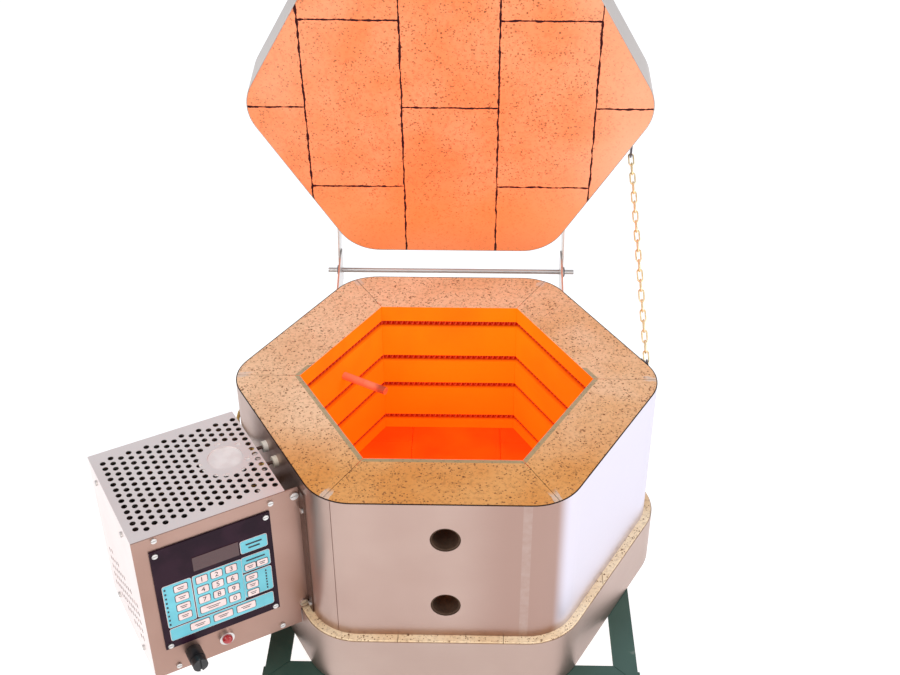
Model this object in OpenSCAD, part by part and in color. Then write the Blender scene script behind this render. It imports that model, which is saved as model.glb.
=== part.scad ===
// Top-loading six-sided kiln with a hinged lid, a steel jacket and a control box on a stand.
// The origin is the centre of the chamber floor. X is to the right, Y to the rear, Z is up.

/* [Chamber] */
// Distance across the flats of the firing chamber
chamber_af = 279.4; // [260:0.1:300]
// Height of one course of wall bricks
course_h = 91; // [88:1:110]
// Thickness of the wall bricks
wall_t = 67; // [60:0.5:75]
// Radius of the rounded outer corners
corner_r = 56; // [45:1:62]
// Thickness of the floor slab
floor_t = 70; // [50:1:76]
// How far the floor slab stands out past the jacket
floor_ledge = 9.5; // [4:0.5:14]
// Width of the bricks in the floor and the lid
brick_w = 110; // [100:1:120]
// Width of the joints between bricks
brick_gap = 0.6; // [0.4:0.1:1]
// Sideways shift of the floor's brick columns
floor_shift = 9; // [0:1:20]
// Diameter of the peephole through the bricks
peephole_d = 27; // [18:1:30]
// Diameter of the peephole in the jacket
peephole_jacket_d = 31; // [31:0.5:36]
// Drop of each peephole below the top of its course
peephole_drop = 46.5; // [42:0.5:50]
// Sideways place of the peepholes
peephole_x = 4; // [0:1:20]

/* [Heating] */
// Drop of the upper element groove below the top of its course
groove_drop_top = 20; // [14:0.5:24]
// Drop of the lower element groove below the top of its course
groove_drop_low = 70; // [65:0.5:76]
// Height of an element groove
groove_h = 9; // [8.6:0.1:11]
// Depth of an element groove
groove_depth = 11; // [10:0.5:14]
// Outer diameter of the heating coil
coil_d = 8; // [6:0.1:8.2]
// Diameter of the heating wire
coil_wire_d = 1.8; // [1.4:0.1:2.2]
// Turns in one heating coil
coil_turns = 22; // [10:1:22]
// Half the distance between the two ends of a coil
coil_end_y = 14; // [10:1:20]
// Diameter of the straight leads
lead_d = 3.6; // [3:0.1:4]
// Outer diameter of the ceramic bushings
bushing_d = 8; // [7:0.5:10]
// Diameter of the thermocouple sheath
probe_d = 9; // [6:0.5:12]
// Reach of the thermocouple into the chamber
probe_reach = 58; // [30:1:75]
// Drop of the thermocouple below the rim
probe_drop = 51; // [40:1:58]

/* [Steel] */
// Thickness of the jacket and the bands
sheet_t = 0.8; // [0.6:0.1:1.2]
// Clearance between the bricks and the steel round them
sheet_gap = 0.3; // [0.2:0.1:0.5]
// Thickness of the hinge plates
hinge_plate_t = 2; // [1.5:0.1:3]
// Distance of the inner faces of the body's hinge plates from the middle
hinge_plate_x = 136; // [132:1:137]
// Sideways clearance between the body's hinge plates and the lid's straps
hinge_side_gap = 0.4; // [0.3:0.1:1]
// Diameter of the hinge rod
rod_d = 6; // [5:0.5:8]
// Radial running clearance of the straps on the rod
rod_fit = 0.05; // [0.02:0.01:0.1]
// How far the rod lies behind the jacket
rod_back = 26; // [25:1:30]
// Drop of the rod below the rim
rod_drop = 7; // [5:1:9]
// How far the rod stands out past the straps
rod_end = 13; // [8:1:20]

/* [Lid] */
// Thickness of the lid slab
lid_t = 64; // [50:1:76]
// Gap between the closed lid and the rim
lid_gap = 1; // [0.8:0.1:2]
// Angle by which the lid stands open
lid_open = 81.6; // [70:0.1:85]
// Length of the lid handle's grip
grip_l = 110; // [80:5:140]
// Diameter of the lid handle's grip
grip_d = 22; // [16:1:28]
// Distance of the grip's centre from the lid band
grip_out = 36; // [30:1:50]

/* [Chain] */
// Number of links in the safety chain, an odd number
chain_links = 21; // [17:2:23]
// Diameter of the chain's wire
chain_wire_d = 2; // [1.4:0.1:2.2]
// Outer width of a link
chain_link_w = 7.6; // [7:0.1:9]

/* [Control box] */
// Height of the control box
box_h = 188; // [180:1:200]
// Width of the box cover, away from the kiln
box_w = 158; // [150:1:180]
// Depth of the box from front to rear
box_d = 148; // [140:1:150]
// Gap between the jacket and the box cover
box_gap = 15; // [12:1:20]
// Drop of the box top below the rim
box_drop = 14; // [10:1:20]
// Thickness of the box's sheet metal
box_sheet = 1.2; // [1:0.1:1.5]
// Diameter of the ventilation holes
vent_hole_d = 6; // [4:0.5:6.5]
// Spacing of the ventilation holes in a column
vent_pitch = 9.2; // [9:0.1:11]
// Diameter of the round port in the box top
port_d = 37; // [25:1:40]
// Width of the controller plate
plate_w = 124; // [122:1:130]
// Height of the controller plate
plate_h = 135; // [133:1:140]
// Outer diameter of the fuse holder
fuse_holder_d = 17; // [15:0.5:18]
// Length of the fuse holder in front of the panel
fuse_holder_l = 14; // [10:1:18]
// Diameter of the push button
button_d = 11; // [8:0.5:12]
// Travel of the push button
button_travel = 3; // [2:0.5:4]
// Bore of the cord gland
gland_bore_d = 9; // [7:0.5:10]

/* [Stand] */
// Outside width and depth of the stand's top frame
stand_w = 405; // [395:1:420]
// Overall height of the stand
stand_h = 230; // [150:5:400]
// Width of the angle iron's flanges
angle_w = 26; // [20:1:30]
// Thickness of the angle iron
angle_t = 3; // [2.5:0.5:4]
// Sideways shift of the stand under the kiln
stand_x = 9; // [-10:1:10]
// Rearward shift of the stand under the kiln
stand_y = -8; // [-10:1:10]

/* [Hidden] */

$fn = 48;
// A little more than nothing, so that cuts pass right through
eps = 0.01;
// Clearance where two fixed pieces lie against each other
seat = 0.05;
// Clearance round a screw or a wire in its hole
hole_gap = 0.2;

chamber_ap = chamber_af / 2;
brick_ap = chamber_ap + wall_t;
jacket_in = brick_ap + sheet_gap;
jacket_ap = jacket_in + sheet_t;
chamber_h = 2 * course_h;
slab_ap = jacket_ap + floor_ledge;

// Facets are named by the angle of their outward normal
box_facet = 210;
probe_facet = 150;
hinge_facet = 30;

groove_zs = [for (course = [1, 0], drop = [groove_drop_top, groove_drop_low])
    course * course_h + course_h - drop - groove_h / 2];
coil_ap = chamber_ap + groove_depth / 2;
coil_r = (coil_d - coil_wire_d) / 2;
coil_corner = 12;
rings_per_turn = 8;
coil_stub = coil_wire_d;
lead_start = coil_ap + coil_r + coil_stub + seat;
lead_end = jacket_ap + box_gap + 9;
bushing_head_t = 5;
bushing_head_d = bushing_d + 4;

rod_y = jacket_ap + rod_back;
rod_z = chamber_h - rod_drop;
strap_x = hinge_plate_x + hinge_plate_t + hinge_side_gap;
rod_half = strap_x + hinge_plate_t + rod_end;
lid_z = chamber_h + lid_gap;
lid_band_ap = jacket_ap;
lid_brick_ap = lid_band_ap - sheet_t - sheet_gap;

// Rounded hexagon with one flat facing the rear; ap is the distance from the centre to a flat
module rounded_hex(ap, r) {
    corner_at = (ap - r) / cos(30);
    polygon([for (k = [0:5], s = [-1, 1])
        corner_at * [cos(60 * k), sin(60 * k)] + r * [cos(60 * k + 30 * s), sin(60 * k + 30 * s)]]);
    for (k = [0:5]) {
        rotate(60 * k) translate([corner_at, 0]) circle(r, $fn = 64);
    }
}

// Sharp hexagon in the same attitude
module sharp_hex(ap) {
    polygon([for (k = [0:5]) ap / cos(30) * [cos(60 * k), sin(60 * k)]]);
}

// Band of sheet steel wrapped round a rounded hexagon of apothem ap_in
module wrap(ap_in, r_in, t, h) {
    linear_extrude(h) difference() {
        rounded_hex(ap_in + t, r_in + t);
        rounded_hex(ap_in, r_in);
    }
}

// Places children on a facet: X points outward, Y runs along the facet
module on_facet(a) {
    rotate([0, 0, a]) children();
}

// Turns children from the closed lid's place to the open lid's
module lid_pose() {
    translate([0, rod_y, rod_z]) rotate([-lid_open, 0, 0]) translate([0, -rod_y, -rod_z]) children();
}

// Block given by its lowest and highest corners
module block(low, high) {
    translate(low) cube(high - low);
}

// Pan-head screw along -X with its head resting on the plane x = 0
screw_head_t = 1.8;
module screw(d = 3, l = 4, head = 6) {
    difference() {
        union() {
            translate([seat, 0, 0]) rotate([0, 90, 0]) cylinder(d = head, h = screw_head_t);
            translate([-l, 0, 0]) rotate([0, 90, 0]) cylinder(d = d, h = l + seat + eps);
        }
        block([screw_head_t - 0.8, -head / 2, -0.4], [screw_head_t + 1, head / 2, 0.4]);
    }
}

module screw_hole(d = 3, l = 8) {
    translate([-l / 2, 0, 0]) rotate([0, 90, 0]) cylinder(d = d + 2 * hole_gap, h = l);
}

// Tube swept along points
function unit(v) = v / norm(v);
function tangents(p) = [for (i = [0:len(p) - 1])
    unit(p[min(i + 1, len(p) - 1)] - p[max(i - 1, 0)])];
function carried(n, t) = unit(n - (n * t) * t);
function side_vectors(t) = [for (i = 0, n = carried([0.31, 0.42, 1], t[0]);
    i < len(t);
    n = carried(n, t[min(i + 1, len(t) - 1)]), i = i + 1) n];

module tube(p, d, sides) {
    t = tangents(p);
    n = side_vectors(t);
    rings = len(p);
    points = [for (i = [0:rings - 1], k = [0:sides - 1])
        p[i] + d / 2 * (cos(360 * k / sides) * n[i] + sin(360 * k / sides) * cross(t[i], n[i]))];
    walls = [for (i = [0:rings - 2], k = [0:sides - 1])
        let (a = i * sides + k, b = i * sides + (k + 1) % sides)
        each [[a, a + sides, b], [b, a + sides, b + sides]]];
    first_cap = [for (k = [1:sides - 2]) [0, k, k + 1]];
    last = (rings - 1) * sides;
    last_cap = [for (k = [1:sides - 2]) [last, last + k + 1, last + k]];
    polyhedron(points, concat(walls, first_cap, last_cap));
}

// Stand
module square_ring(outer, inner, z_low, z_high) {
    difference() {
        block([-outer, -outer, z_low], [outer, outer, z_high]);
        block([-inner, -inner, z_low - 1], [inner, inner, z_high + 1]);
    }
}

stand_half = stand_w / 2;
frame_top = -floor_t - seat;
mitre_w = 0.8;
mitre_depth = 0.6;
foot_t = 5;
leg_drop = 6;

module stand_frame() {
    color("darkslategray") translate([stand_x, stand_y, 0]) difference() {
        union() {
            square_ring(stand_half, stand_half - angle_w, frame_top - angle_t, frame_top);
            square_ring(stand_half, stand_half - angle_t, frame_top - angle_w, frame_top - angle_t);
        }
        // Weld lines of the mitred corners
        for (a = [45, 135]) {
            rotate([0, 0, a])
                block([-stand_w, -mitre_w / 2, frame_top - mitre_depth], [stand_w, mitre_w / 2, frame_top + 1]);
        }
    }
}

module corners() {
    for (sx = [0, 1], sy = [0, 1]) {
        translate([stand_x, stand_y, 0]) mirror([sx, 0, 0]) mirror([0, sy, 0]) children();
    }
}

module angle_leg(z_low, z_high, wall, grow) {
    out = stand_half + angle_t + seat;
    difference() {
        block([out - angle_w - grow, out - angle_w - grow, z_low], [out + grow, out + grow, z_high]);
        block([out - angle_w - grow - 1, out - angle_w - grow - 1, z_low - 1],
              [out - wall, out - wall, z_high + 1]);
    }
}

module stand_legs() {
    color("darkslategray") corners()
        angle_leg(-floor_t - stand_h + foot_t, frame_top - leg_drop, angle_t, 0);
}

module stand_feet() {
    color("#222222") corners()
        angle_leg(-floor_t - stand_h, -floor_t - stand_h + foot_t - seat, angle_t + 2, 2);
}

// Bricks of the lid: columns brick_w wide, with cross joints that alternate
module lid_slab() {
    difference() {
        translate([0, 0, lid_z]) linear_extrude(lid_t)
            rounded_hex(lid_brick_ap, corner_r - sheet_t - sheet_gap);
        for (k = [-2:2]) {
            low = (k - 0.5) * brick_w;
            if (k > -2) {
                block([low - brick_gap / 2, -jacket_ap, lid_z - 1],
                      [low + brick_gap / 2, jacket_ap, lid_z + lid_t + 1]);
            }
            for (y = abs(k) == 1 ? [-brick_w, brick_w] : [0]) {
                block([low, y - brick_gap / 2, lid_z - 1],
                      [low + brick_w, y + brick_gap / 2, lid_z + lid_t + 1]);
            }
        }
    }
}

// The floor slab: the walls stand a hair lower than the chamber's floor, and there is no cross
// joint in the middle column
module floor_slab() {
    ap = slab_ap - sheet_t - sheet_gap;
    difference() {
        union() {
            translate([0, 0, -floor_t]) linear_extrude(floor_t - seat)
                rounded_hex(ap, corner_r + floor_ledge - sheet_t - sheet_gap);
            translate([0, 0, -floor_t]) linear_extrude(floor_t) sharp_hex(chamber_ap - brick_gap);
        }
        for (k = [-1:2]) {
            x = floor_shift + (k - 0.5) * brick_w;
            block([x - brick_gap / 2, -ap - 1, -floor_t - 1], [x + brick_gap / 2, ap + 1, 1]);
        }
        for (side = [-1, 1], y = [-brick_w, brick_w]) {
            low = floor_shift + (side - 0.5) * brick_w;
            block([low, y - brick_gap / 2, -floor_t - 1], [low + brick_w, y + brick_gap / 2, 1]);
        }
    }
}

module floor_bricks() {
    color("tan") floor_slab();
}

module floor_band() {
    color("silver") translate([0, 0, -floor_t + 1])
        wrap(slab_ap - sheet_t, corner_r + floor_ledge - sheet_t, sheet_t, floor_t - 3);
}

// Worm-drive clamp that pulls a band tight, standing on the plane x = 0
clamp_l = 23;
clamp_h = 13;
clamp_t = 6.5;
module band_clamp() {
    difference() {
        block([seat, -clamp_l / 2, -clamp_h / 2], [clamp_t, clamp_l / 2, clamp_h / 2]);
        translate([clamp_t / 2 + 0.5, -clamp_l / 2 - 1, 0]) rotate([-90, 0, 0]) cylinder(d = 4.4, h = clamp_l / 2);
    }
    translate([clamp_t / 2 + 0.5, -clamp_l / 2 - 5, 0]) rotate([-90, 0, 0]) difference() {
        union() {
            cylinder(d = 7, h = 4, $fn = 6);
            cylinder(d = 4, h = 12);
        }
        block([-0.6, -4, -1], [0.6, 4, 1.2]);
    }
}

module floor_band_clamp() {
    color("silver") on_facet(90) translate([slab_ap, 0, -floor_t / 2]) band_clamp();
}

// Walls
module course(z_low, h) {
    difference() {
        translate([0, 0, z_low]) linear_extrude(h) difference() {
            rounded_hex(brick_ap, corner_r - sheet_t - sheet_gap);
            sharp_hex(chamber_ap);
        }
        // Mitre joints at the six corners
        for (k = [0:5]) {
            rotate([0, 0, 60 * k])
                block([0, -brick_gap / 2, z_low - 1], [2 * brick_ap, brick_gap / 2, z_low + h + 1]);
        }
        for (z = groove_zs) {
            if (z > z_low && z < z_low + h) {
                translate([0, 0, z - groove_h / 2]) linear_extrude(groove_h) sharp_hex(chamber_ap + groove_depth);
            }
        }
        peephole_cuts(peephole_d);
        bushing_cuts(bushing_d / 2 + hole_gap);
        probe_cut(probe_d / 2 + hole_gap);
    }
}

module peephole_cuts(d) {
    for (c = [0, 1]) {
        translate([peephole_x, 0, (c + 1) * course_h - peephole_drop]) rotate([90, 0, 0]) cylinder(d = d, h = slab_ap);
    }
}

module at_coil_ends() {
    on_facet(box_facet) for (z = groove_zs, s = [-1, 1]) {
        translate([0, s * coil_end_y, z]) rotate([0, 90, 0]) children();
    }
}

module bushing_cuts(r) {
    at_coil_ends() translate([0, 0, coil_ap]) cylinder(r = r, h = brick_ap);
}

module probe_cut(r) {
    on_facet(probe_facet) translate([0, 0, chamber_h - probe_drop]) rotate([0, 90, 0]) cylinder(r = r, h = slab_ap);
}

module lower_wall_bricks() {
    color("orange") course(0, course_h - seat);
}

module upper_wall_bricks() {
    color("orange") course(course_h, course_h);
}

// Heating coils: a helix that follows the rounded hexagon of the groove
coil_side = 2 * (coil_ap - coil_corner) * tan(30);
coil_arc = coil_corner * PI / 3;
coil_period = coil_side + coil_arc;
coil_from = coil_end_y;
coil_to = 6 * coil_period - coil_end_y;

// Place of the groove's middle line at the distance s along it, with its outward direction
function groove_line(s) =
    let (k = floor((s + coil_side / 2) / coil_period),
         q = s + coil_side / 2 - k * coil_period,
         a = box_facet + 60 * k)
    q < coil_side
        ? [coil_ap * cos(a) - (q - coil_side / 2) * sin(a), coil_ap * sin(a) + (q - coil_side / 2) * cos(a), a]
        : let (turned = a + 60 * (q - coil_side) / coil_arc, c = (coil_ap - coil_corner) / cos(30))
          [c * cos(a + 30) + coil_corner * cos(turned), c * sin(a + 30) + coil_corner * sin(turned), turned];

function coil_point(u) =
    let (g = groove_line(coil_from + (coil_to - coil_from) * u), w = 360 * coil_turns * u)
    [g[0] + coil_r * cos(w) * cos(g[2]), g[1] + coil_r * cos(w) * sin(g[2]), coil_r * sin(w)];

coil_steps = coil_turns * rings_per_turn;
coil_out = [cos(box_facet), sin(box_facet), 0];
coil_path = concat(
    [coil_point(0) + coil_stub * coil_out],
    [for (i = [0:coil_steps]) coil_point(i / coil_steps)],
    [coil_point(1) + coil_stub * coil_out]);

// Least gap between parts of one coil that are half a turn or more apart
function coil_gap() = min([for (i = [0:4:coil_steps / 3], j = [i + rings_per_turn / 2:i + 3 * rings_per_turn])
    norm(coil_point(i / coil_steps) - coil_point(j / coil_steps))]) - coil_wire_d;
coil_ends_gap = norm(coil_path[0] - coil_path[len(coil_path) - 1]) - coil_wire_d;
echo("least gap of a heating coil to itself, mm", min(coil_gap(), coil_ends_gap));

module heating_element(i) {
    color("firebrick") translate([0, 0, groove_zs[i]]) tube(coil_path, coil_wire_d, 6);
}

module heating_element_1() { heating_element(0); }
module heating_element_2() { heating_element(1); }
module heating_element_3() { heating_element(2); }
module heating_element_4() { heating_element(3); }

module element_leads() {
    color("gray") at_coil_ends() translate([0, 0, lead_start]) cylinder(d = lead_d, h = lead_end - lead_start);
}

module element_bushings() {
    head_at = jacket_ap + seat;
    color("ivory") at_coil_ends() difference() {
        union() {
            translate([0, 0, chamber_ap + groove_depth]) cylinder(d = bushing_d, h = head_at - chamber_ap - groove_depth + 1);
            translate([0, 0, head_at]) cylinder(d = bushing_head_d, h = bushing_head_t);
        }
        translate([0, 0, coil_ap]) cylinder(d = lead_d + 2 * seat, h = brick_ap);
    }
}

connector_l = 12;
module element_connectors() {
    color("gold") at_coil_ends() translate([0, 0, lead_end - connector_l + 1]) difference() {
        union() {
            cylinder(d = lead_d + 4, h = connector_l);
            translate([0, 0, connector_l / 2]) rotate([90, 0, 0]) cylinder(d = 4, h = lead_d / 2 + 4);
        }
        translate([0, 0, -1]) cylinder(d = lead_d + 2 * seat, h = connector_l + 2);
    }
}

// Thermocouple
probe_head_l = 10;
module thermocouple_sheath() {
    z = chamber_h - probe_drop;
    from = chamber_ap - probe_reach;
    color("indianred") on_facet(probe_facet) translate([from, 0, z]) rotate([0, 90, 0]) difference() {
        cylinder(d = probe_d, h = jacket_ap + probe_head_l - from);
        for (s = [-1, 1]) {
            translate([0, s * probe_d / 5, -1]) cylinder(d = probe_d / 5, h = 8);
        }
        translate([0, 0, probe_reach / 2]) difference() {
            cylinder(d = probe_d + 1, h = 1);
            translate([0, 0, -1]) cylinder(d = probe_d - 0.8, h = 3);
        }
    }
}

block_w = 34;
block_h = 22;
block_t = 14;
module thermocouple_block() {
    z = chamber_h - probe_drop;
    color("beige") on_facet(probe_facet) translate([jacket_ap, 0, z]) difference() {
        union() {
            block([seat, -block_w / 2, -block_h / 2], [block_t, block_w / 2, block_h / 2]);
            for (s = [-1, 1]) {
                translate([block_t, s * block_w / 4, 0]) rotate([0, 90, 0]) cylinder(d = 6, h = 2);
            }
        }
        translate([-1, 0, 0]) rotate([0, 90, 0]) cylinder(d = probe_d + 2 * hole_gap, h = probe_head_l + 2);
    }
}

// The thermocouple's lead runs round the left corner into the box. Each place is given by its
// distance outside the jacket and its place along the facet
lead_z = chamber_h - probe_drop - block_h / 2 + 5;
probe_lead_d = 4;
lead_off = 3.5;
lead_start_at = [[7, block_w / 2 + seat], [7, block_w / 2 + 5], [6.5, 30], [5.5, 40], [4, 55]];
lead_end_at = [[3.5, -86], [4.5, -78], [8, -70], [12, -65], [17, -62], [22, -61], [28, -61]];
function beside_jacket(p, a) =
    [(jacket_ap + p[0]) * cos(a) - p[1] * sin(a), (jacket_ap + p[0]) * sin(a) + p[1] * cos(a), lead_z];
left_corner = -(jacket_ap - corner_r) / cos(30);
lead_path = concat(
    [for (p = lead_start_at) beside_jacket(p, probe_facet)],
    [for (a = [probe_facet:12:box_facet])
        [left_corner + (corner_r + lead_off) * cos(a), (corner_r + lead_off) * sin(a), lead_z]],
    [for (p = lead_end_at) beside_jacket(p, box_facet)]);

module thermocouple_lead() {
    color("goldenrod") tube(lead_path, probe_lead_d, 8);
}

// Jacket
seam_angle = 242;
seam_w = 0.8;
module jacket() {
    color("silver") difference() {
        wrap(jacket_in, corner_r - sheet_t, sheet_t, chamber_h);
        peephole_cuts(peephole_jacket_d);
        bushing_cuts(bushing_d / 2 + hole_gap);
        probe_cut(probe_d / 2 + hole_gap);
        hinge_flange_holes();
        angle_screw_holes();
        anchor_holes();
        rotate([0, 0, seam_angle]) block([jacket_in / 2, -seam_w / 2, -1], [2 * jacket_ap, seam_w / 2, chamber_h + 1]);
    }
    // Strap behind the seam, in the wall's clearance
    color("silver") intersection() {
        wrap(brick_ap + seat, corner_r - sheet_t - sheet_gap + seat, sheet_gap, chamber_h);
        rotate([0, 0, seam_angle]) block([jacket_in / 2, -8, 0], [2 * jacket_ap, 8, chamber_h]);
    }
}

// Hinge
flange_w = 24;
flange_t = 1.5;
// The sheet metal screws end short of the bricks
sheet_screw_l = flange_t + sheet_t + sheet_gap - seat;
body_flange_low = rod_z - 32;
body_flange_high = rod_z + 3;
lid_flange_low = lid_z + 12;
lid_flange_high = lid_z + 50;

// Where a plate at the distance x from the middle meets the rear-side facet of apothem ap
function facet_y(x, ap) = (ap - x * cos(30)) / sin(30);
function facet_t(x, ap) = (x - ap * cos(30)) / sin(30);

module right_flange(ap, x, z_low, z_high) {
    // On the right rear facet, Y of the facet runs towards the rear corner
    y_end = -facet_t(x, ap + flange_t);
    on_facet(hinge_facet)
        block([ap + seat, y_end - flange_w, z_low], [ap + seat + flange_t, y_end, z_high]);
}

module at_flange_screws(ap, x, z_low, z_high) {
    y_end = -facet_t(x, ap + flange_t);
    for (z = [z_low + 8, z_high - 8]) {
        on_facet(hinge_facet) translate([ap + seat + flange_t, y_end - flange_w + 8, z]) children();
    }
}

module body_flange_screws() {
    at_flange_screws(jacket_ap, hinge_plate_x, body_flange_low, body_flange_high) children();
}

module lid_flange_screws() {
    at_flange_screws(lid_band_ap, strap_x, lid_flange_low, lid_flange_high) children();
}

module both_sides() {
    children();
    mirror([1, 0, 0]) children();
}

module hinge_flange_holes() {
    both_sides() body_flange_screws() screw_hole();
}

plate_rise = 24;
module hinge_bracket_right() {
    meet = facet_y(hinge_plate_x + hinge_plate_t, jacket_ap) - 1;
    color("silver") difference() {
        union() {
            translate([hinge_plate_x, 0, 0]) rotate([90, 0, 90]) linear_extrude(hinge_plate_t) polygon([
                [meet, body_flange_low], [rod_y + 10, rod_z - 18], [rod_y + 12, rod_z],
                [rod_y + 12, rod_z + plate_rise], [rod_y - 10, rod_z + plate_rise], [meet, body_flange_high],
            ]);
            right_flange(jacket_ap, hinge_plate_x + hinge_plate_t, body_flange_low, body_flange_high);
        }
        linear_extrude(2 * chamber_h) sharp_hex(jacket_ap + seat);
        rod_bore(rod_d / 2 + rod_fit);
        body_flange_screws() screw_hole();
    }
}

module hinge_bracket_left() {
    mirror([1, 0, 0]) hinge_bracket_right();
}

module rod_bore(r) {
    translate([0, rod_y, rod_z]) rotate([0, 90, 0]) cylinder(r = r, h = 2 * rod_half, center = true);
}

module hinge_rod() {
    color("silver") rod_bore(rod_d / 2);
}

retainer_t = 1.2;
module rod_retainers() {
    color("dimgray") both_sides() difference() {
        translate([strap_x + hinge_plate_t + hinge_side_gap, rod_y, rod_z]) rotate([0, 90, 0])
            cylinder(d = 2 * rod_d, h = retainer_t);
        rod_bore(rod_d / 2 + seat / 2);
    }
}

module jacket_screws() {
    color("lightgray") {
        both_sides() body_flange_screws() screw(l = sheet_screw_l);
        at_anchor_screws() screw(l = sheet_screw_l);
    }
}

// Lid, made in its closed place and turned open
module lid_bricks() {
    color("lightsalmon") lid_pose() lid_slab();
}

module lid_band() {
    color("silver") lid_pose() difference() {
        translate([0, 0, lid_z + 0.5]) wrap(lid_band_ap - sheet_t, corner_r - sheet_t, sheet_t, lid_t - 2);
        both_sides() lid_flange_screws() screw_hole();
        at_handle_screws() screw_hole();
        at_bracket_screws() screw_hole();
    }
}

clamp_x = 9;
module lid_band_clamp() {
    color("dimgray") lid_pose() on_facet(90) translate([lid_band_ap, -clamp_x, lid_z + lid_t / 2]) band_clamp();
}

strap_eye_r = 9;
module lid_strap_right() {
    near = facet_y(strap_x + hinge_plate_t, lid_band_ap) - 1;
    color("silver") lid_pose() difference() {
        union() {
            translate([strap_x, 0, 0]) rotate([90, 0, 90]) linear_extrude(hinge_plate_t) union() {
                polygon([
                    [rod_y - strap_eye_r, rod_z], [rod_y + strap_eye_r * sin(45), rod_z + strap_eye_r * cos(45)],
                    [near + 14, lid_flange_high], [near, lid_flange_high], [near, lid_flange_low],
                ]);
                translate([rod_y, rod_z]) circle(strap_eye_r);
            }
            right_flange(lid_band_ap, strap_x + hinge_plate_t, lid_flange_low, lid_flange_high);
        }
        linear_extrude(2 * lid_z) sharp_hex(lid_band_ap + seat);
        rod_bore(rod_d / 2 + rod_fit);
        lid_flange_screws() screw_hole();
    }
}

module lid_strap_left() {
    mirror([1, 0, 0]) lid_strap_right();
}

// Handle on the front of the lid
handle_foot_w = 24;
handle_foot_h = 30;
handle_arm_t = 3;
module at_handle_screws() {
    for (s = [-1, 1], z = [-9, 9]) {
        on_facet(270) translate([lid_band_ap + handle_arm_t, s * (grip_l / 2 + handle_arm_t + 12), lid_z + lid_t / 2 + z])
            children();
    }
}

module lid_handle_bracket() {
    z = lid_z + lid_t / 2;
    color("#222222") lid_pose() on_facet(270) difference() {
        for (s = [0, 1]) {
            mirror([0, s, 0]) {
                block([lid_band_ap + seat, grip_l / 2 + seat, z - handle_foot_h / 2],
                      [lid_band_ap + handle_arm_t, grip_l / 2 + handle_foot_w, z + handle_foot_h / 2]);
                block([lid_band_ap + seat, grip_l / 2 + seat, z - handle_foot_h / 2],
                      [lid_band_ap + grip_out + grip_d / 2, grip_l / 2 + handle_arm_t, z + handle_foot_h / 2]);
            }
        }
        on_facet(-270) at_handle_screws() screw_hole();
        translate([lid_band_ap + grip_out, 0, z]) rotate([90, 0, 0]) cylinder(d = 6, h = 2 * grip_l, center = true);
    }
}

grip_pin_d = 5.6;
module lid_handle_grip() {
    color("#222222") lid_pose() on_facet(270) translate([lid_band_ap + grip_out, 0, lid_z + lid_t / 2])
        rotate([90, 0, 0]) {
            cylinder(d = grip_d, h = grip_l, center = true);
            cylinder(d = grip_pin_d, h = grip_l + 2 * handle_arm_t, center = true);
        }
}

module lid_screws() {
    color("lightgray") lid_pose() {
        both_sides() lid_flange_screws() screw(l = sheet_screw_l);
        at_handle_screws() screw(l = sheet_screw_l + handle_arm_t - flange_t);
        at_bracket_screws() screw(l = sheet_screw_l);
    }
}

// Safety chain: it stops the lid at its open angle
lid_eye_out = 18;
lid_eye_along = -37;
lid_eye_rise = 29;
body_eye_out = 4.7;
body_eye_from_corner = 7.7;
body_eye_drop = 5;
function on_hinge_facet(out, along, z) =
    [out * cos(hinge_facet) - along * sin(hinge_facet), out * sin(hinge_facet) + along * cos(hinge_facet), z];
lid_eye = on_hinge_facet(lid_band_ap + lid_eye_out, lid_eye_along, lid_z + lid_eye_rise);
body_eye = on_hinge_facet(jacket_ap + body_eye_out,
                          body_eye_from_corner - (jacket_ap - corner_r) * tan(30), chamber_h - body_eye_drop);
tab_t = 1.6;
tab_half = 4.5;
tab_foot_w = 13;
tab_foot_h = 14;
eye_r = 1.9;

function turned_open(p) =
    let (y = p[1] - rod_y, z = p[2] - rod_z)
    [p[0], rod_y + y * cos(lid_open) + z * sin(lid_open), rod_z - y * sin(lid_open) + z * cos(lid_open)];
function to_facet(p, a) = [p[0] * cos(a) + p[1] * sin(a), p[1] * cos(a) - p[0] * sin(a), p[2]];

// A tab in the chain's own plane, with a foot on the right rear facet
function foot_y(eye, ap) = to_facet([eye[0], facet_y(eye[0], ap), 0], hinge_facet)[1];

module chain_tab(eye, ap, foot_h) {
    along = foot_y(eye, ap) + 1;
    difference() {
        union() {
            on_facet(hinge_facet)
                block([ap + seat, along, eye[2] - foot_h], [ap + flange_t, along + tab_foot_w, eye[2] + tab_half]);
            translate([eye[0] - tab_t / 2, 0, 0]) rotate([90, 0, 90]) linear_extrude(tab_t) {
                translate([facet_y(eye[0] + tab_t, ap), eye[2] - tab_half])
                    square([eye[1] - facet_y(eye[0] + tab_t, ap), 2 * tab_half]);
                translate([eye[1], eye[2]]) circle(tab_half);
            }
        }
        linear_extrude(2 * lid_z) sharp_hex(ap + seat);
        translate(eye) rotate([0, 90, 0]) cylinder(r = eye_r, h = 4, center = true);
    }
}

module at_tab_screw(eye, ap, foot_h) {
    along = foot_y(eye, ap) + 1;
    on_facet(hinge_facet) translate([ap + flange_t, along + tab_foot_w / 2, eye[2] - foot_h + 4.5]) children();
}

module at_bracket_screws() {
    at_tab_screw(lid_eye, lid_band_ap, tab_foot_h) children();
}

module at_anchor_screws() {
    at_tab_screw(body_eye, jacket_ap, tab_foot_h) children();
}

module anchor_holes() {
    at_anchor_screws() screw_hole();
}

module lid_chain_bracket() {
    color("dimgray") lid_pose() difference() {
        chain_tab(lid_eye, lid_band_ap, tab_foot_h);
        at_bracket_screws() screw_hole();
    }
}

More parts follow.
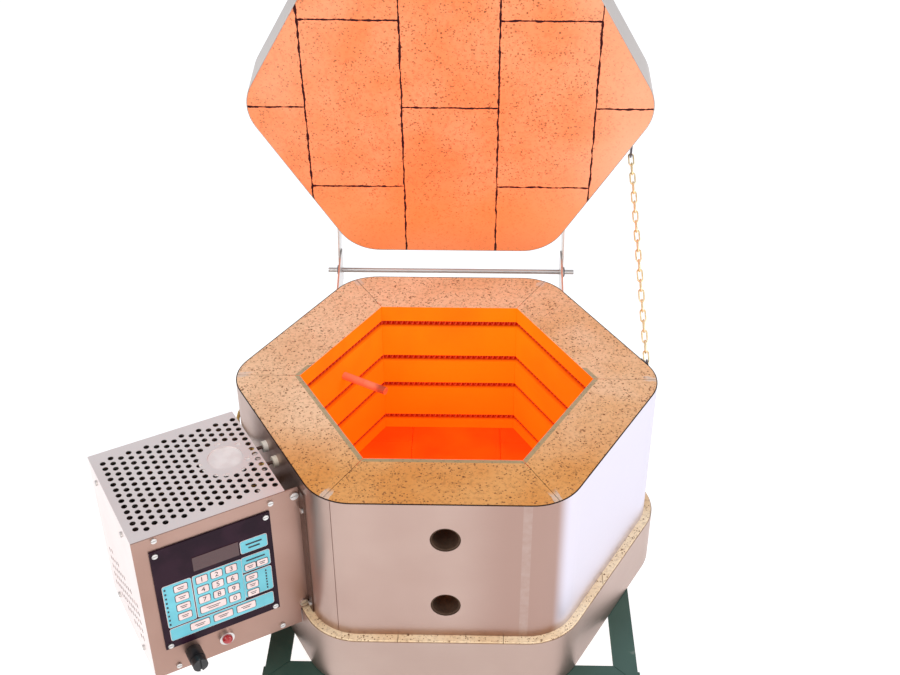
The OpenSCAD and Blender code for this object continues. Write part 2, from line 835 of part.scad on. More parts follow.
module body_chain_anchor() {
    color("dimgray") difference() {
        chain_tab(body_eye, jacket_ap, tab_foot_h);
        at_anchor_screws() screw_hole();
    }
}

chain_top = turned_open(lid_eye);
chain_line = body_eye - chain_top;
chain_l = norm(chain_line);
chain_play = 0.5;
link_c = (chain_l + (chain_links - 1) * (chain_wire_d + chain_play)) / chain_links;
link_pitch = link_c - chain_wire_d - chain_play;
link_bend_r = (chain_link_w - chain_wire_d) / 2;
// The links are stamped flat, so that each one clears the bend of the next
link_t = 0.8 * chain_wire_d;

// Outline of a link that runs along Y from the middle of one bend to that of the other
module link_outline(r) {
    straight = link_c - 2 * link_bend_r;
    translate([-r, link_bend_r]) square([2 * r, straight]);
    for (y = [link_bend_r, link_c - link_bend_r]) {
        translate([0, y]) circle(r);
    }
}

// One oval link that starts at the origin and lies along Z
module chain_link() {
    rotate([90, 0, 0]) linear_extrude(link_t, center = true) difference() {
        link_outline(chain_link_w / 2);
        link_outline(chain_link_w / 2 - chain_wire_d);
    }
}

module safety_chain() {
    turn = atan2(chain_line[1], chain_line[0]);
    tip = acos(chain_line[2] / chain_l);
    color("khaki") translate(chain_top) rotate([0, tip, turn]) for (i = [0:chain_links - 1]) {
        translate([0, 0, i * link_pitch]) rotate([0, 0, 90 * (i % 2) + 90]) chain_link();
    }
}

// Control box, in the coordinates of its facet
box_near = jacket_ap + box_gap;
box_far = box_near + box_w;
box_top = chamber_h - box_drop;
box_low = box_top - box_h;
box_front = box_d / 2;
panel_near = jacket_ap + flange_t + 2 * seat;
// Height above the chamber floor where the panel clears the floor slab
slab_clear = 1;

// Places on the front panel, as distances from the box's far edge and from its top
function panel_at(from_far, from_top) = [box_far - from_far, box_top - from_top];
plate_mid = panel_at(15 + plate_w / 2, 17 + plate_h / 2);
button_at = panel_at(78, 166);
fuse_at = panel_at(42, 168);
panel_screw_at = [panel_at(22, 4), panel_at(141, 8), panel_at(25, 181), panel_at(140, 181)];
big_screw_at = [[panel_near + 5, box_top - 9], [panel_near + 5, slab_clear + 7]];
plate_screw_at = [for (sx = [-1, 1], sz = [-1, 1]) plate_mid + [sx * (plate_w / 2 - 5), sz * (plate_h / 2 - 5)]];
opening_w = plate_w - 20;
opening_h = plate_h - 24;

// Stands children on the front panel: their X axis points forward
module on_panel(at, off = 0) {
    on_facet(box_facet) translate([at[0], box_front + off, at[1]]) rotate([0, 0, 90]) children();
}

module box_front_panel() {
    color("#b09a8c") difference() {
        on_facet(box_facet) difference() {
            block([panel_near, box_front - box_sheet, box_low], [box_far, box_front, box_top]);
            block([plate_mid[0] - opening_w / 2, 0, plate_mid[1] - opening_h / 2],
                  [plate_mid[0] + opening_w / 2, box_d, plate_mid[1] + opening_h / 2]);
            // Notch that clears the floor slab
            block([0, 0, box_low - 1], [slab_ap + 1, box_d, slab_clear]);
        }
        for (at = concat(panel_screw_at, plate_screw_at)) {
            on_panel(at) screw_hole();
        }
        for (at = big_screw_at) {
            on_panel(at) screw_hole(d = 5);
        }
        on_panel(button_at) rotate([0, 90, 0]) cylinder(d = button_d + 2 * hole_gap + 2, h = 20, center = true);
        on_panel(fuse_at) rotate([0, 90, 0]) cylinder(d = fuse_holder_d - 4 + 2 * hole_gap, h = 20, center = true);
    }
}

// Floor and kiln-side wall of the box, with the openings for the element connectors
module box_chassis() {
    wall_low = box_low + box_sheet;
    wall_high = box_top - box_sheet - seat;
    wall_far = box_far - box_sheet - seat;
    side_front = box_front - box_sheet - seat;
    color("#a89488") on_facet(box_facet) difference() {
        union() {
            block([box_near, -side_front, box_low], [wall_far, side_front, wall_low]);
            block([box_near, -side_front, box_low], [box_near + box_sheet, side_front, wall_high]);
            // Tabs that carry the panel's screws, the top ones on a rail
            for (at = panel_screw_at) {
                low = at[1] > 0 ? box_top - 16 : box_low;
                block([at[0] - 5, side_front - box_sheet, low],
                      [at[0] + 5, side_front, low + 15]);
            }
            block([box_near, side_front - box_sheet, wall_high - 3], [wall_far, side_front, wall_high]);
            // Posts that carry the cover's screws
            for (p = cover_screw_at) {
                block([wall_far - box_sheet, p[0] - 6, box_low], [wall_far, p[0] + 6, box_top - 8]);
            }
        }
        at_cover_screws_here() screw_hole(l = 12);
        for (z = groove_zs) {
            block([box_near - 1, -coil_end_y - 8, z - 8], [box_near + 5, coil_end_y + 8, z + 8]);
        }
        block([box_near - 1, -67, lead_z - 6], [box_near + 5, -42, lead_z + 6]);
        for (at = panel_screw_at) {
            translate([at[0], box_front, at[1]]) rotate([0, 0, 90]) screw_hole(l = 12);
        }
    }
}

port_at = [box_near + 34, -4];
vent_columns = 16;
vent_edge = 11;
module vent_pattern() {
    step = (box_w - 16) / (vent_columns - 1);
    for (c = [0:vent_columns - 1]) {
        x = box_near + 5 + c * step;
        rows = floor((box_d - 2 * vent_edge - (c % 2) * vent_pitch) / vent_pitch);
        for (r = [0:rows]) {
            y = -rows * vent_pitch / 2 + r * vent_pitch;
            if (norm([x, y] - port_at) > port_d / 2 + vent_hole_d / 2 + 2) {
                translate([x, y]) circle(d = vent_hole_d, $fn = 16);
            }
        }
    }
}

cover_screw_at = [[-46, 14], [40, 14], [-46, 174], [40, 174]];
module at_cover_screws_here() {
    for (p = cover_screw_at) {
        translate([box_far, p[0], box_top - p[1]]) children();
    }
}

module at_cover_screws() {
    on_facet(box_facet) at_cover_screws_here() children();
}

slot_rows = 5;
module box_cover() {
    color("#c8b6ac") difference() {
        on_facet(box_facet) {
            // Perforated top
            translate([0, 0, box_top - box_sheet]) linear_extrude(box_sheet) difference() {
                translate([box_near, -box_front]) square([box_w, box_d - box_sheet - seat]);
                vent_pattern();
                translate(port_at) circle(d = port_d);
            }
            // Far side with a field of cooling holes low down
            translate([box_far - box_sheet, 0, 0]) rotate([90, 0, 90]) linear_extrude(box_sheet) difference() {
                translate([-box_front, box_low]) square([box_d - box_sheet - seat, box_h - box_sheet + eps]);
                for (r = [0:slot_rows - 1], c = [0:9]) {
                    translate([-box_front + 22 + c * 11, box_low + 28 + r * 12 + (c % 2) * 6]) circle(d = vent_hole_d, $fn = 16);
                }
            }
            // Rear side with the gland's hole
            translate([0, -box_front + box_sheet, 0]) rotate([90, 0, 0]) linear_extrude(box_sheet) difference() {
                translate([box_near, box_low]) square([box_w - box_sheet + eps, box_h - box_sheet + eps]);
                translate(gland_at) circle(d = gland_thread_d + 2 * hole_gap);
            }
        }
        at_cover_screws() screw_hole();
    }
    // Floor flange that the cover's lower screws hold
    color("#c8b6ac") on_facet(box_facet)
        block([box_far - box_sheet - 12, -box_front + box_sheet, box_low - box_sheet - seat],
              [box_far, box_front - box_sheet - seat, box_low - seat]);
    color("#c8b6ac") on_facet(box_facet)
        block([box_far - box_sheet, -box_front + box_sheet, box_low - box_sheet - seat],
              [box_far, box_front - box_sheet - seat, box_low + eps]);
}

module vent_disc() {
    disc_d = port_d + 18;
    color("gainsboro") on_facet(box_facet) translate([port_at[0], port_at[1], box_top - box_sheet - seat - 1])
        cylinder(d = disc_d, h = 1);
}

// Steel angle that hangs the box on the jacket
angle_leg_l = 13;
module angle_screw_holes() {
    at_angle_screws() screw_hole();
}

module at_angle_screws() {
    on_facet(box_facet) for (z = [box_top - 26, box_low + 30]) {
        translate([jacket_ap + seat + flange_t, box_front + 7, z]) children();
    }
}

module mounting_angle() {
    back = box_front - box_sheet - seat;
    color("#a08a7c") difference() {
        on_facet(box_facet) {
            block([jacket_ap + seat, back - flange_t, slab_clear],
                  [jacket_ap + seat + flange_t, back + angle_leg_l, box_top - 2]);
            block([jacket_ap + seat, back - flange_t, slab_clear], [box_near - 1, back, box_top - 2]);
        }
        at_angle_screws() screw_hole();
        for (at = big_screw_at) {
            on_panel(at) screw_hole(d = 5, l = 12);
        }
    }
}

module mounting_screws() {
    color("lightgray") {
        at_angle_screws() screw(l = sheet_screw_l);
        for (at = big_screw_at) {
            on_panel(at) screw(d = 5, l = 6, head = 9);
        }
    }
}

module panel_screws() {
    color("lightgray") for (at = panel_screw_at) {
        on_panel(at) screw(l = 5);
    }
}

module cover_screws() {
    color("lightgray") at_cover_screws() screw(l = 4);
}

// Controller
plate_t = 1.6;
plate_off = seat;
film_t = 0.4;
window_w = 48;
window_h = 18;
window_at = plate_mid + [-2, 34];
plate_face = plate_off + plate_t;

module panel_block(low, high, off, t) {
    on_facet(box_facet) block([low[0], box_front + off, low[1]], [high[0], box_front + off + t, high[1]]);
}

module controller_plate() {
    color("#2b1226") difference() {
        panel_block(plate_mid - [plate_w, plate_h] / 2, plate_mid + [plate_w, plate_h] / 2, plate_off, plate_t);
        for (at = plate_screw_at) {
            on_panel(at) screw_hole();
        }
    }
}

module controller_screws() {
    color("lightgray") for (at = plate_screw_at) {
        on_panel(at, plate_face) screw(l = 4);
    }
}

module display_window() {
    color("maroon") panel_block(window_at - [window_w, window_h] / 2, window_at + [window_w, window_h] / 2, plate_face + seat, film_t);
}

// Coloured key fields: the centre of each from the middle of the plate, with its width and height
fields = [
    [-42, 33, 28, 16],
    [-42, 9, 30, 20],
    [-42, -20, 30, 32],
    [-1, -10, 51, 57],
    [41, -10, 29, 57],
    [-0.5, -49, 111, 16],
];
key_row = 13.8;
key_column = 15.5;

module keypad_panels() {
    color("mediumturquoise") for (f = fields) {
        at = plate_mid + [f[0], f[1]];
        panel_block(at - [f[2], f[3]] / 2, at + [f[2], f[3]] / 2, plate_face + seat, film_t);
    }
}

key_off = plate_face + 2 * seat + film_t;
module key_cap(x, z, w, h) {
    at = plate_mid + [x, z];
    panel_block(at - [w, h] / 2, at + [w, h] / 2, key_off, film_t);
}

module keypad_keys() {
    color("mistyrose") {
        // Digits, with a wide key and the nought below them
        for (c = [-1, 0, 1], r = [0:2]) {
            key_cap(key_column * c, 11.5 - key_row * r, 11.5, 9);
        }
        key_cap(key_column / 2, 11.5 - key_row * 3, key_column + 11.5, 9);
        key_cap(-key_column, 11.5 - key_row * 3, 11.5, 9);
        // Side columns of short keys
        for (r = [0:3]) {
            key_cap(37.5, 10.5 - 13 * r, 13.5, 8.5);
        }
        for (r = [0:2]) {
            key_cap(-35.5, -10 - 11 * r, 12, 8);
        }
        for (s = [-1, 1]) {
            key_cap(-42 + 6.5 * s, 5, 11.5, 8);
        }
        // Bottom row
        for (k = [-1:1]) {
            key_cap(25 * k - 1, -48, 20, 9);
        }
    }
}

standoff_l = 14;
board_t = 1.6;
board_w = opening_w - 8;
board_h = opening_h - 6;
board_back = plate_off - standoff_l;
module at_standoffs() {
    for (sx = [-1, 1], sz = [-1, 1]) {
        on_panel(plate_mid + [sx * (board_w / 2 - 5), sz * (board_h / 2 - 5)]) rotate([0, 90, 0]) children();
    }
}

module controller_board() {
    color("darkgreen") difference() {
        union() {
            panel_block(plate_mid - [board_w, board_h] / 2, plate_mid + [board_w, board_h] / 2, board_back - board_t, board_t);
            panel_block(window_at - [window_w, window_h] / 2, window_at + [window_w, window_h] / 2, board_back - eps, 8);
            panel_block(plate_mid - [30, 20], plate_mid - [4, 2], board_back - board_t - 9, 9 + eps);
            panel_block(plate_mid + [8, -30], plate_mid + [34, -18], board_back - board_t - 6, 6 + eps);
        }
        at_standoffs() cylinder(d = 3.4, h = 60, center = true);
    }
}

module board_standoffs() {
    color("gainsboro") at_standoffs() {
        translate([0, 0, board_back + seat]) cylinder(d = 6, h = standoff_l - 2 * seat);
        translate([0, 0, board_back - board_t - 2]) cylinder(d = 3, h = board_t + 2 + 2 * seat);
    }
}

// Power parts on the floor of the box, each a share of the box's width
box_inside = box_low + box_sheet + seat;
power_w = 0.24 * box_w;
relay_from = 0.125 * box_w;
relay_pitch = 0.28 * box_w;
transformer_from = 0.3 * box_w;
relay_rim = 6;
relay_l = 50;
relay_h = 30;
module relays() {
    color("#333333") on_facet(box_facet) for (k = [0, 1]) {
        translate([box_near + relay_from + relay_pitch * k, -relay_l, box_inside]) difference() {
            block([0, 0, 0], [power_w, relay_l, relay_h]);
            // Steps that carry the terminals
            for (y = [-1, relay_l - relay_rim]) {
                block([relay_rim, y, relay_h - relay_rim], [power_w - relay_rim, y + relay_rim + 1, relay_h + 1]);
            }
        }
    }
}

terminal_ways = 4;
module terminal_block() {
    step = 13;
    color("orange") on_facet(box_facet) translate([box_near + 28, 14, box_inside]) difference() {
        block([0, 0, 0], [terminal_ways * step, 20, 16]);
        for (k = [0:terminal_ways - 1]) {
            translate([(k + 0.5) * step, 10, 4]) cylinder(d = 6, h = 20);
        }
    }
}

module transformer() {
    core_l = 32;
    core_h = 30;
    foot_h = 8;
    winding_t = 4;
    on_facet(box_facet) translate([box_far - transformer_from, -8, box_inside]) {
        color("#4a4a50") block([0, 0, 0], [power_w, core_l, foot_h]);
        color("#4a4a50") block([winding_t + 1, 0, foot_h - eps], [power_w - winding_t - 1, core_l, core_h]);
        color("peru") difference() {
            block([1, 6, foot_h + seat], [power_w - 1, core_l - 6, core_h - winding_t]);
            block([winding_t + 1 - seat, 0, foot_h], [power_w - winding_t - 1 + seat, core_l, core_h + 1]);
        }
    }
}

// Fuse holder on the front panel, with its slotted cap
fuse_cap_l = 9;
fuse_bore_d = 9.4;
module fuse_holder() {
    color("#1c1c1c") on_panel(fuse_at) rotate([0, 90, 0]) difference() {
        union() {
            translate([0, 0, seat]) cylinder(d = fuse_holder_d, h = fuse_holder_l);
            translate([0, 0, -34]) cylinder(d = fuse_holder_d - 4, h = 34 + seat + eps);
        }
        translate([0, 0, -30]) cylinder(d = fuse_bore_d, h = 60);
    }
}

cap_stem_d = fuse_bore_d - 0.12;
module fuse_cap() {
    color("#1c1c1c") on_panel(fuse_at) rotate([0, 90, 0]) difference() {
        union() {
            translate([0, 0, fuse_holder_l + 4 * seat]) cylinder(d = fuse_holder_d - 1, h = fuse_cap_l);
            translate([0, 0, fuse_holder_l - 8]) cylinder(d = cap_stem_d, h = 9);
        }
        block([-fuse_holder_d, -1, fuse_holder_l + fuse_cap_l - 2], [fuse_holder_d, 1, fuse_holder_l + fuse_cap_l + 5]);
    }
}

fuse_d = 6.3;
fuse_l = 32;
module fuse() {
    color("lightcyan") on_panel(fuse_at) rotate([0, 90, 0])
        translate([0, 0, fuse_holder_l - 8 - seat - fuse_l]) cylinder(d = fuse_d, h = fuse_l);
}

// Push button and its threaded bezel
bezel_t = 4;
button_out = 9;
module button_bezel() {
    color("silver") on_panel(button_at) rotate([0, 90, 0]) difference() {
        union() {
            translate([0, 0, seat]) cylinder(d = button_d + 5, h = bezel_t);
            translate([0, 0, -22]) cylinder(d = button_d + 2, h = 22 + seat + eps);
        }
        translate([0, 0, -18]) cylinder(d = button_d + 0.12, h = 40);
    }
}

module red_button() {
    color("crimson") on_panel(button_at) rotate([0, 90, 0])
        translate([0, 0, -18 + button_travel + 0.5]) cylinder(d = button_d, h = 18 - button_travel - 0.5 + button_out);
}

// Gland for the supply cord in the rear side of the box
gland_at = [box_near + 40, box_low + 40];
gland_thread_d = 16;
gland_l = 14;
module cord_gland() {
    color("#222222") on_facet(box_facet) translate([gland_at[0], -box_front, gland_at[1]]) rotate([90, 0, 0]) difference() {
        union() {
            translate([0, 0, seat]) cylinder(d = 24, h = 6, $fn = 6);
            translate([0, 0, 6]) cylinder(d = 19, h = gland_l - 6);
            translate([0, 0, -8]) cylinder(d = gland_thread_d, h = 9);
            translate([0, 0, -box_sheet - seat - 4]) cylinder(d = 22, h = 4, $fn = 6);
        }
        translate([0, 0, -10]) cylinder(d = gland_bore_d, h = gland_l + 20);
    }
}

stand_frame();
stand_legs();
stand_feet();
floor_bricks();
floor_band();
floor_band_clamp();
lower_wall_bricks();
upper_wall_bricks();
heating_element_1();
heating_element_2();
heating_element_3();
heating_element_4();
element_leads();
element_bushings();
element_connectors();
thermocouple_sheath();
thermocouple_block();
thermocouple_lead();
jacket();
jacket_screws();
hinge_bracket_left();
hinge_bracket_right();
hinge_rod();
rod_retainers();
lid_bricks();
lid_band();
lid_band_clamp();
lid_strap_left();
lid_strap_right();
lid_screws();
lid_handle_bracket();
lid_handle_grip();
lid_chain_bracket();
body_chain_anchor();
safety_chain();
box_front_panel();
box_chassis();
box_cover();
vent_disc();
mounting_angle();
mounting_screws();
panel_screws();
cover_screws();
controller_plate();
controller_screws();
keypad_panels();
keypad_keys();
display_window();
controller_board();
board_standoffs();
relays();
terminal_block();
transformer();
fuse_holder();
fuse_cap();
fuse();
button_bezel();
red_button();
cord_gland();
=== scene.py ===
# %% [markdown]
# # The looks of a top-loading kiln
# The CAD part gives every solid its place and size. This scene adds the camera, the light,
# the materials and the soft or printed pieces that the CAD model keeps plain.

from math import cos, floor, pi, radians, sin, tan

import bmesh
import bpy
from mathutils import Matrix, Vector


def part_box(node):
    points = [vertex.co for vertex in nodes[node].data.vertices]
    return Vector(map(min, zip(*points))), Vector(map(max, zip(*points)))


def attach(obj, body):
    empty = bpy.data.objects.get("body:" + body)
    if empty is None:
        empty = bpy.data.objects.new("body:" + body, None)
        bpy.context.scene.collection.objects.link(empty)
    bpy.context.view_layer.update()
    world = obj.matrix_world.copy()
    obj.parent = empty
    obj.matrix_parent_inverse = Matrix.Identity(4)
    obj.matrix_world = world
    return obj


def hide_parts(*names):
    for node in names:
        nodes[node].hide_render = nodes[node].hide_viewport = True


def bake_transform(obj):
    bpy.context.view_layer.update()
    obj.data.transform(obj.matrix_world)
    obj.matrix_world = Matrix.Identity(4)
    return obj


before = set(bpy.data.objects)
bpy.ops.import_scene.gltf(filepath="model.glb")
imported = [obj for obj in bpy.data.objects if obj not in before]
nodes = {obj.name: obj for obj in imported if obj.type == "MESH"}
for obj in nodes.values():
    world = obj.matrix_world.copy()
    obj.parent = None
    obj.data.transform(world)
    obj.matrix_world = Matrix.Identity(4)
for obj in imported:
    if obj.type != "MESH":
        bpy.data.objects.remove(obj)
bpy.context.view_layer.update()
MM = 0.001
print("the CAD part has", len(nodes), "nodes")

# %% [markdown]
# ## Camera
# The camera looks down into the chamber from the front. Its place, turns and lens were solved
# from the six corners of the rim and of the chamber in the photograph.

# %% Camera
RIM_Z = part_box("upper_wall_bricks")[1].z
CAMERA_AT = Vector((0.0310, -1.1261, 0.8303 + RIM_Z))
PITCH, YAW, ROLL = radians(34.61), radians(-1.36), radians(-0.16)
forward = Vector((sin(YAW) * cos(PITCH), cos(YAW) * cos(PITCH), -sin(PITCH)))
level = Vector((cos(YAW), -sin(YAW), 0))
above = level.cross(forward)
right = level * cos(ROLL) + above * sin(ROLL)
up = above * cos(ROLL) - level * sin(ROLL)

camera_data = bpy.data.cameras.new("camera")
camera_data.sensor_fit = "HORIZONTAL"
camera_data.sensor_width = 36
camera_data.lens = 50.9
camera_data.clip_end = 50
camera = bpy.data.objects.new("camera", camera_data)
bpy.context.scene.collection.objects.link(camera)
camera.matrix_world = Matrix((
    (right.x, up.x, -forward.x, CAMERA_AT.x),
    (right.y, up.y, -forward.y, CAMERA_AT.y),
    (right.z, up.z, -forward.z, CAMERA_AT.z),
    (0, 0, 0, 1),
))
bpy.context.scene.camera = camera
bpy.context.scene.view_settings.view_transform = "Standard"
print("camera at", tuple(round(v, 4) for v in CAMERA_AT))

# %% [markdown]
# ## Shader helpers
# A Socket wraps one output of a shader node, so that shader maths reads like ordinary maths.
# A Look is one material, built from procedural nodes in object coordinates.


# %% Shader helpers
class Socket:
    """An output of a shader node that can be added, multiplied and compared."""

    def __init__(self, look, output):
        self.look = look
        self.output = output

    def __add__(self, other):
        return self.look.math("ADD", self, other)

    def __sub__(self, other):
        return self.look.math("SUBTRACT", self, other)

    def __mul__(self, other):
        return self.look.math("MULTIPLY", self, other)

    def __gt__(self, other):
        return self.look.math("GREATER_THAN", self, other)

    def __lt__(self, other):
        return self.look.math("LESS_THAN", self, other)

    def __abs__(self):
        return self.look.math("ABSOLUTE", self)

    def most(self, other):
        return self.look.math("MAXIMUM", self, other)

    def least(self, other):
        return self.look.math("MINIMUM", self, other)

    def between(self, low, high):
        """1 from low to high and 0 outside."""
        return (self > low) * (self < high)

    def rise(self, low, high):
        """Goes smoothly from 0 at low to 1 at high."""
        return self.look.node("ShaderNodeMapRange", {"Value": self, "From Min": low, "From Max": high},
                              interpolation_type="SMOOTHSTEP")


class Look:
    """One procedural material."""

    def __init__(self, name, rough=0.5, metal=0.0, coat=0.0, gleam=0.5, emit=0.0):
        self.material = bpy.data.materials.new(name)
        self.material.use_nodes = True
        self.tree = self.material.node_tree
        self.shader = self.tree.nodes["Principled BSDF"]
        self.shader.inputs["Roughness"].default_value = rough
        self.shader.inputs["Metallic"].default_value = metal
        self.shader.inputs["Coat Weight"].default_value = coat
        self.shader.inputs["Specular IOR Level"].default_value = gleam
        self.shader.inputs["Emission Strength"].default_value = emit
        texture = self.tree.nodes.new("ShaderNodeTexCoord")
        self.place = Socket(self, texture.outputs["Object"])
        split = self.tree.nodes.new("ShaderNodeSeparateXYZ")
        self.tree.links.new(self.place.output, split.inputs[0])
        self.x, self.y, self.z = [Socket(self, split.outputs[i]) for i in range(3)]

    def put(self, target, value):
        if isinstance(value, Socket):
            self.tree.links.new(value.output, target)
        else:
            target.default_value = value

    def node(self, kind, inputs, result=0, **settings):
        made = self.tree.nodes.new(kind)
        for key, value in settings.items():
            setattr(made, key, value)
        for key, value in inputs.items():
            self.put(made.inputs[key], value)
        return Socket(self, made.outputs[result])

    def math(self, operation, *values):
        return self.node("ShaderNodeMath", dict(enumerate(values)), operation=operation)

    def stretched(self, factors):
        return self.node("ShaderNodeVectorMath", {0: self.place, 1: factors}, operation="MULTIPLY")

    def noise(self, scale, detail=3.0, factors=(1, 1, 1), rough=0.5):
        inputs = {"Vector": self.stretched(factors), "Scale": scale, "Detail": detail, "Roughness": rough}
        return self.node("ShaderNodeTexNoise", inputs)

    def cells(self, scale):
        """Distance to the nearest of many scattered points, in cells."""
        return self.node("ShaderNodeTexVoronoi", {"Vector": self.place, "Scale": scale})

    def along(self, direction):
        """Distance from the origin in a direction."""
        inputs = {0: self.place, 1: direction}
        return self.node("ShaderNodeVectorMath", inputs, result=1, operation="DOT_PRODUCT")

    def facing(self, angle):
        """Distance from the kiln's middle towards an angle in degrees, seen from above."""
        return self.along((cos(radians(angle)), sin(radians(angle)), 0))

    def mix(self, share, first, second):
        """The colour first, or second where share is 1."""
        ends = [c if isinstance(c, Socket) else (*c, 1) for c in (first, second)]
        made = self.tree.nodes.new("ShaderNodeMix")
        made.data_type = "RGBA"
        self.put(made.inputs[0], share)
        self.put(made.inputs[6], ends[0])
        self.put(made.inputs[7], ends[1])
        return Socket(self, made.outputs[2])

    def set(self, **inputs):
        for key, value in inputs.items():
            self.put(self.shader.inputs[key.replace("_", " ")], value)
        return self

    def bump(self, height, depth, strength=1.0):
        made = self.node("ShaderNodeBump", {"Height": height, "Distance": depth, "Strength": strength})
        return self.set(Normal=made)


def paint(names, look):
    """Gives CAD nodes a material."""
    for name in names.split():
        nodes[name].data.materials.clear()
        nodes[name].data.materials.append(look.material)


def plain(name, colour, other, scale=60.0, rough=0.5, metal=0.0, coat=0.0, gleam=0.5, depth=0.1 * MM):
    """A finish with two close tones, mottled at one scale."""
    look = Look(name, rough, metal, coat, gleam)
    tone = look.noise(scale)
    look.set(Base_Color=look.mix(tone.rise(0.35, 0.65), colour, other))
    look.set(Roughness=tone * 0.12 + (rough - 0.06))
    return look.bump(tone, depth, 0.4)


print("shader helpers are ready")

# %% [markdown]
# ## Mesh helpers
# New pieces are built with bmesh operators in the CAD frame. Each object stays at the origin,
# and its place is in its mesh. On the control box, X is the distance out from the kiln,
# Y the distance towards the front panel and Z the height.

# %% Mesh helpers
BOX_FACET = 210
BOX_TURN = Matrix.Rotation(radians(BOX_FACET), 4, "Z")


def piece(name, bm, look, body, smooth=False):
    """Turns a bmesh into an object that rides on a body."""
    mesh = bpy.data.meshes.new(name)
    bmesh.ops.recalc_face_normals(bm, faces=bm.faces)
    bm.to_mesh(mesh)
    bm.free()
    mesh.materials.append(look.material)
    if smooth:
        mesh.shade_smooth()
    made = bpy.data.objects.new(name, mesh)
    bpy.context.scene.collection.objects.link(made)
    if body:
        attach(made, body)
    return made


def add_tile(bm, centre, size, corner):
    """A thin tile that faces the front of the box, with rounded corners."""
    place = BOX_TURN @ Matrix.Translation(centre) @ Matrix.Diagonal((*size, 1))
    made = bmesh.ops.create_cube(bm, size=1, matrix=place)
    facing = (BOX_TURN @ Vector((0, 1, 0))).normalized()
    edges = {e for v in made["verts"] for e in v.link_edges}
    through = [e for e in edges if abs((e.verts[0].co - e.verts[1].co).normalized().dot(facing)) > 0.99]
    bmesh.ops.bevel(bm, geom=through, offset=corner, segments=4, profile=0.5, affect="EDGES", material=-1)


def add_lathe(bm, profile, place, steps=40):
    """Turns a profile of (radius, height) points round the Z axis of place."""
    verts = [bm.verts.new((r, 0, z)) for r, z in profile]
    edges = [bm.edges.new(pair) for pair in zip(verts, verts[1:])]
    bmesh.ops.spin(bm, geom=verts + edges, cent=(0, 0, 0), axis=(0, 0, 1), angle=2 * pi,
                   steps=steps, use_duplicate=False)
    bmesh.ops.remove_doubles(bm, verts=bm.verts, dist=1e-6)
    bmesh.ops.transform(bm, matrix=place, verts=bm.verts)


def curve_piece(name, points, radius, look, body, sides):
    """A round wire along points."""
    data = bpy.data.curves.new(name, "CURVE")
    data.dimensions = "3D"
    data.bevel_depth = radius
    data.bevel_resolution = sides
    data.use_fill_caps = True
    spline = data.splines.new("POLY")
    spline.points.add(len(points) - 1)
    for point, co in zip(spline.points, points):
        point.co = (*co, 1)
    data.materials.append(look.material)
    made = bpy.data.objects.new(name, data)
    bpy.context.scene.collection.objects.link(made)
    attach(made, body)
    return made


print("mesh helpers are ready")

# %% [markdown]
# ## Fired brick
# One look serves the walls. Its parts are picked by place: the chamber side glows orange as painted
# light, with darker, redder grooves as painted shade. The peephole insides are painted dark brown
# shade, the front inner edge is painted as a shaded chamfer, and the rim is tan with brown specks
# and pale mortar at the corners.

# %% Walls
CHAMBER_AP = 139.7 * MM
JACKET_AP = 207.8 * MM
TAN = (0.66, 0.285, 0.075)
TAN_PALE = (0.72, 0.37, 0.13)
BUFF = (0.76, 0.48, 0.28)
BUFF_PALE = (0.84, 0.58, 0.37)
SPECK = (0.19, 0.08, 0.035)
MORTAR = (0.66, 0.55, 0.46)
BRICK_GLEAM = 0.1
# The painted glow reaches this deep into the grooves. What lies deeper is the inside of a peephole, painted
# dark brown as shade
PAINTED_GLOW_DEPTH = 11.5 * MM
# Only what lies lower than this under the rim can carry the painted glow
RIM_EDGE = 0.2 * MM


def brick_base(look, first, second):
    """Mottled insulating brick with small dark specks and pits."""
    tone = look.noise(14, 4)
    grain = look.noise(520, 2)
    ground = look.mix(tone.rise(0.3, 0.7), first, second)
    ground = look.mix(look.noise(230, 3).rise(0.45, 0.75) * 0.35, ground, SPECK)
    fine = grain.rise(0.62, 0.68) * look.noise(90, 2).rise(0.36, 0.56)
    dots = look.cells(230) < look.noise(60, 1) * 0.5 - 0.05
    pits = look.cells(62) < 0.075
    specks = fine.most(dots * 0.75).most(pits)
    look.bump(specks, -0.6 * MM, 0.6)
    return look.mix(specks, ground, SPECK)


def apothem(look):
    """Distance from the middle to the flats of the hexagon that runs through the point."""
    first, second, third = [abs(look.facing(a)) for a in (30, 90, 150)]
    return first.most(second).most(third)


# The emission paints light: the chamber side glows orange though the brick is no lamp
walls = Look("fired_wall_brick", rough=0.9, gleam=BRICK_GLEAM, emit=0.66)
reach = apothem(walls)
# The front of the rim is tan, the sides are paler towards the left
front_share = walls.y.rise(-0.06, -0.17)
right_share = walls.x.rise(-0.05, 0.15) * 0.45
side_first = walls.mix(right_share, BUFF, TAN_PALE)
side_second = walls.mix(right_share, BUFF_PALE, BUFF)
surface = brick_base(walls, walls.mix(front_share, side_first, TAN),
                     walls.mix(front_share, side_second, TAN_PALE))
# The chamber's inner edge on the front side is painted dull greenish grey: painted shade on the chamfer
chamfer_shade = reach.between(CHAMBER_AP, CHAMBER_AP + 5 * MM) * (walls.y < 0.02)
surface = walls.mix(chamfer_shade * 0.75, surface, (0.30, 0.28, 0.17))
seams = [abs(walls.facing(a + 90)) for a in (0, 60, 120)]
seam = seams[0].least(seams[1]).least(seams[2])
smear = seam < walls.noise(60, 2) * (11 * MM) - 1 * MM
smear = smear * reach.rise(JACKET_AP - 22 * MM, JACKET_AP - 14 * MM)
surface = walls.mix(smear * 0.7, surface, MORTAR)
below_rim = walls.z < RIM_Z - RIM_EDGE
painted_glow_mask = (reach < CHAMBER_AP + PAINTED_GLOW_DEPTH) * below_rim
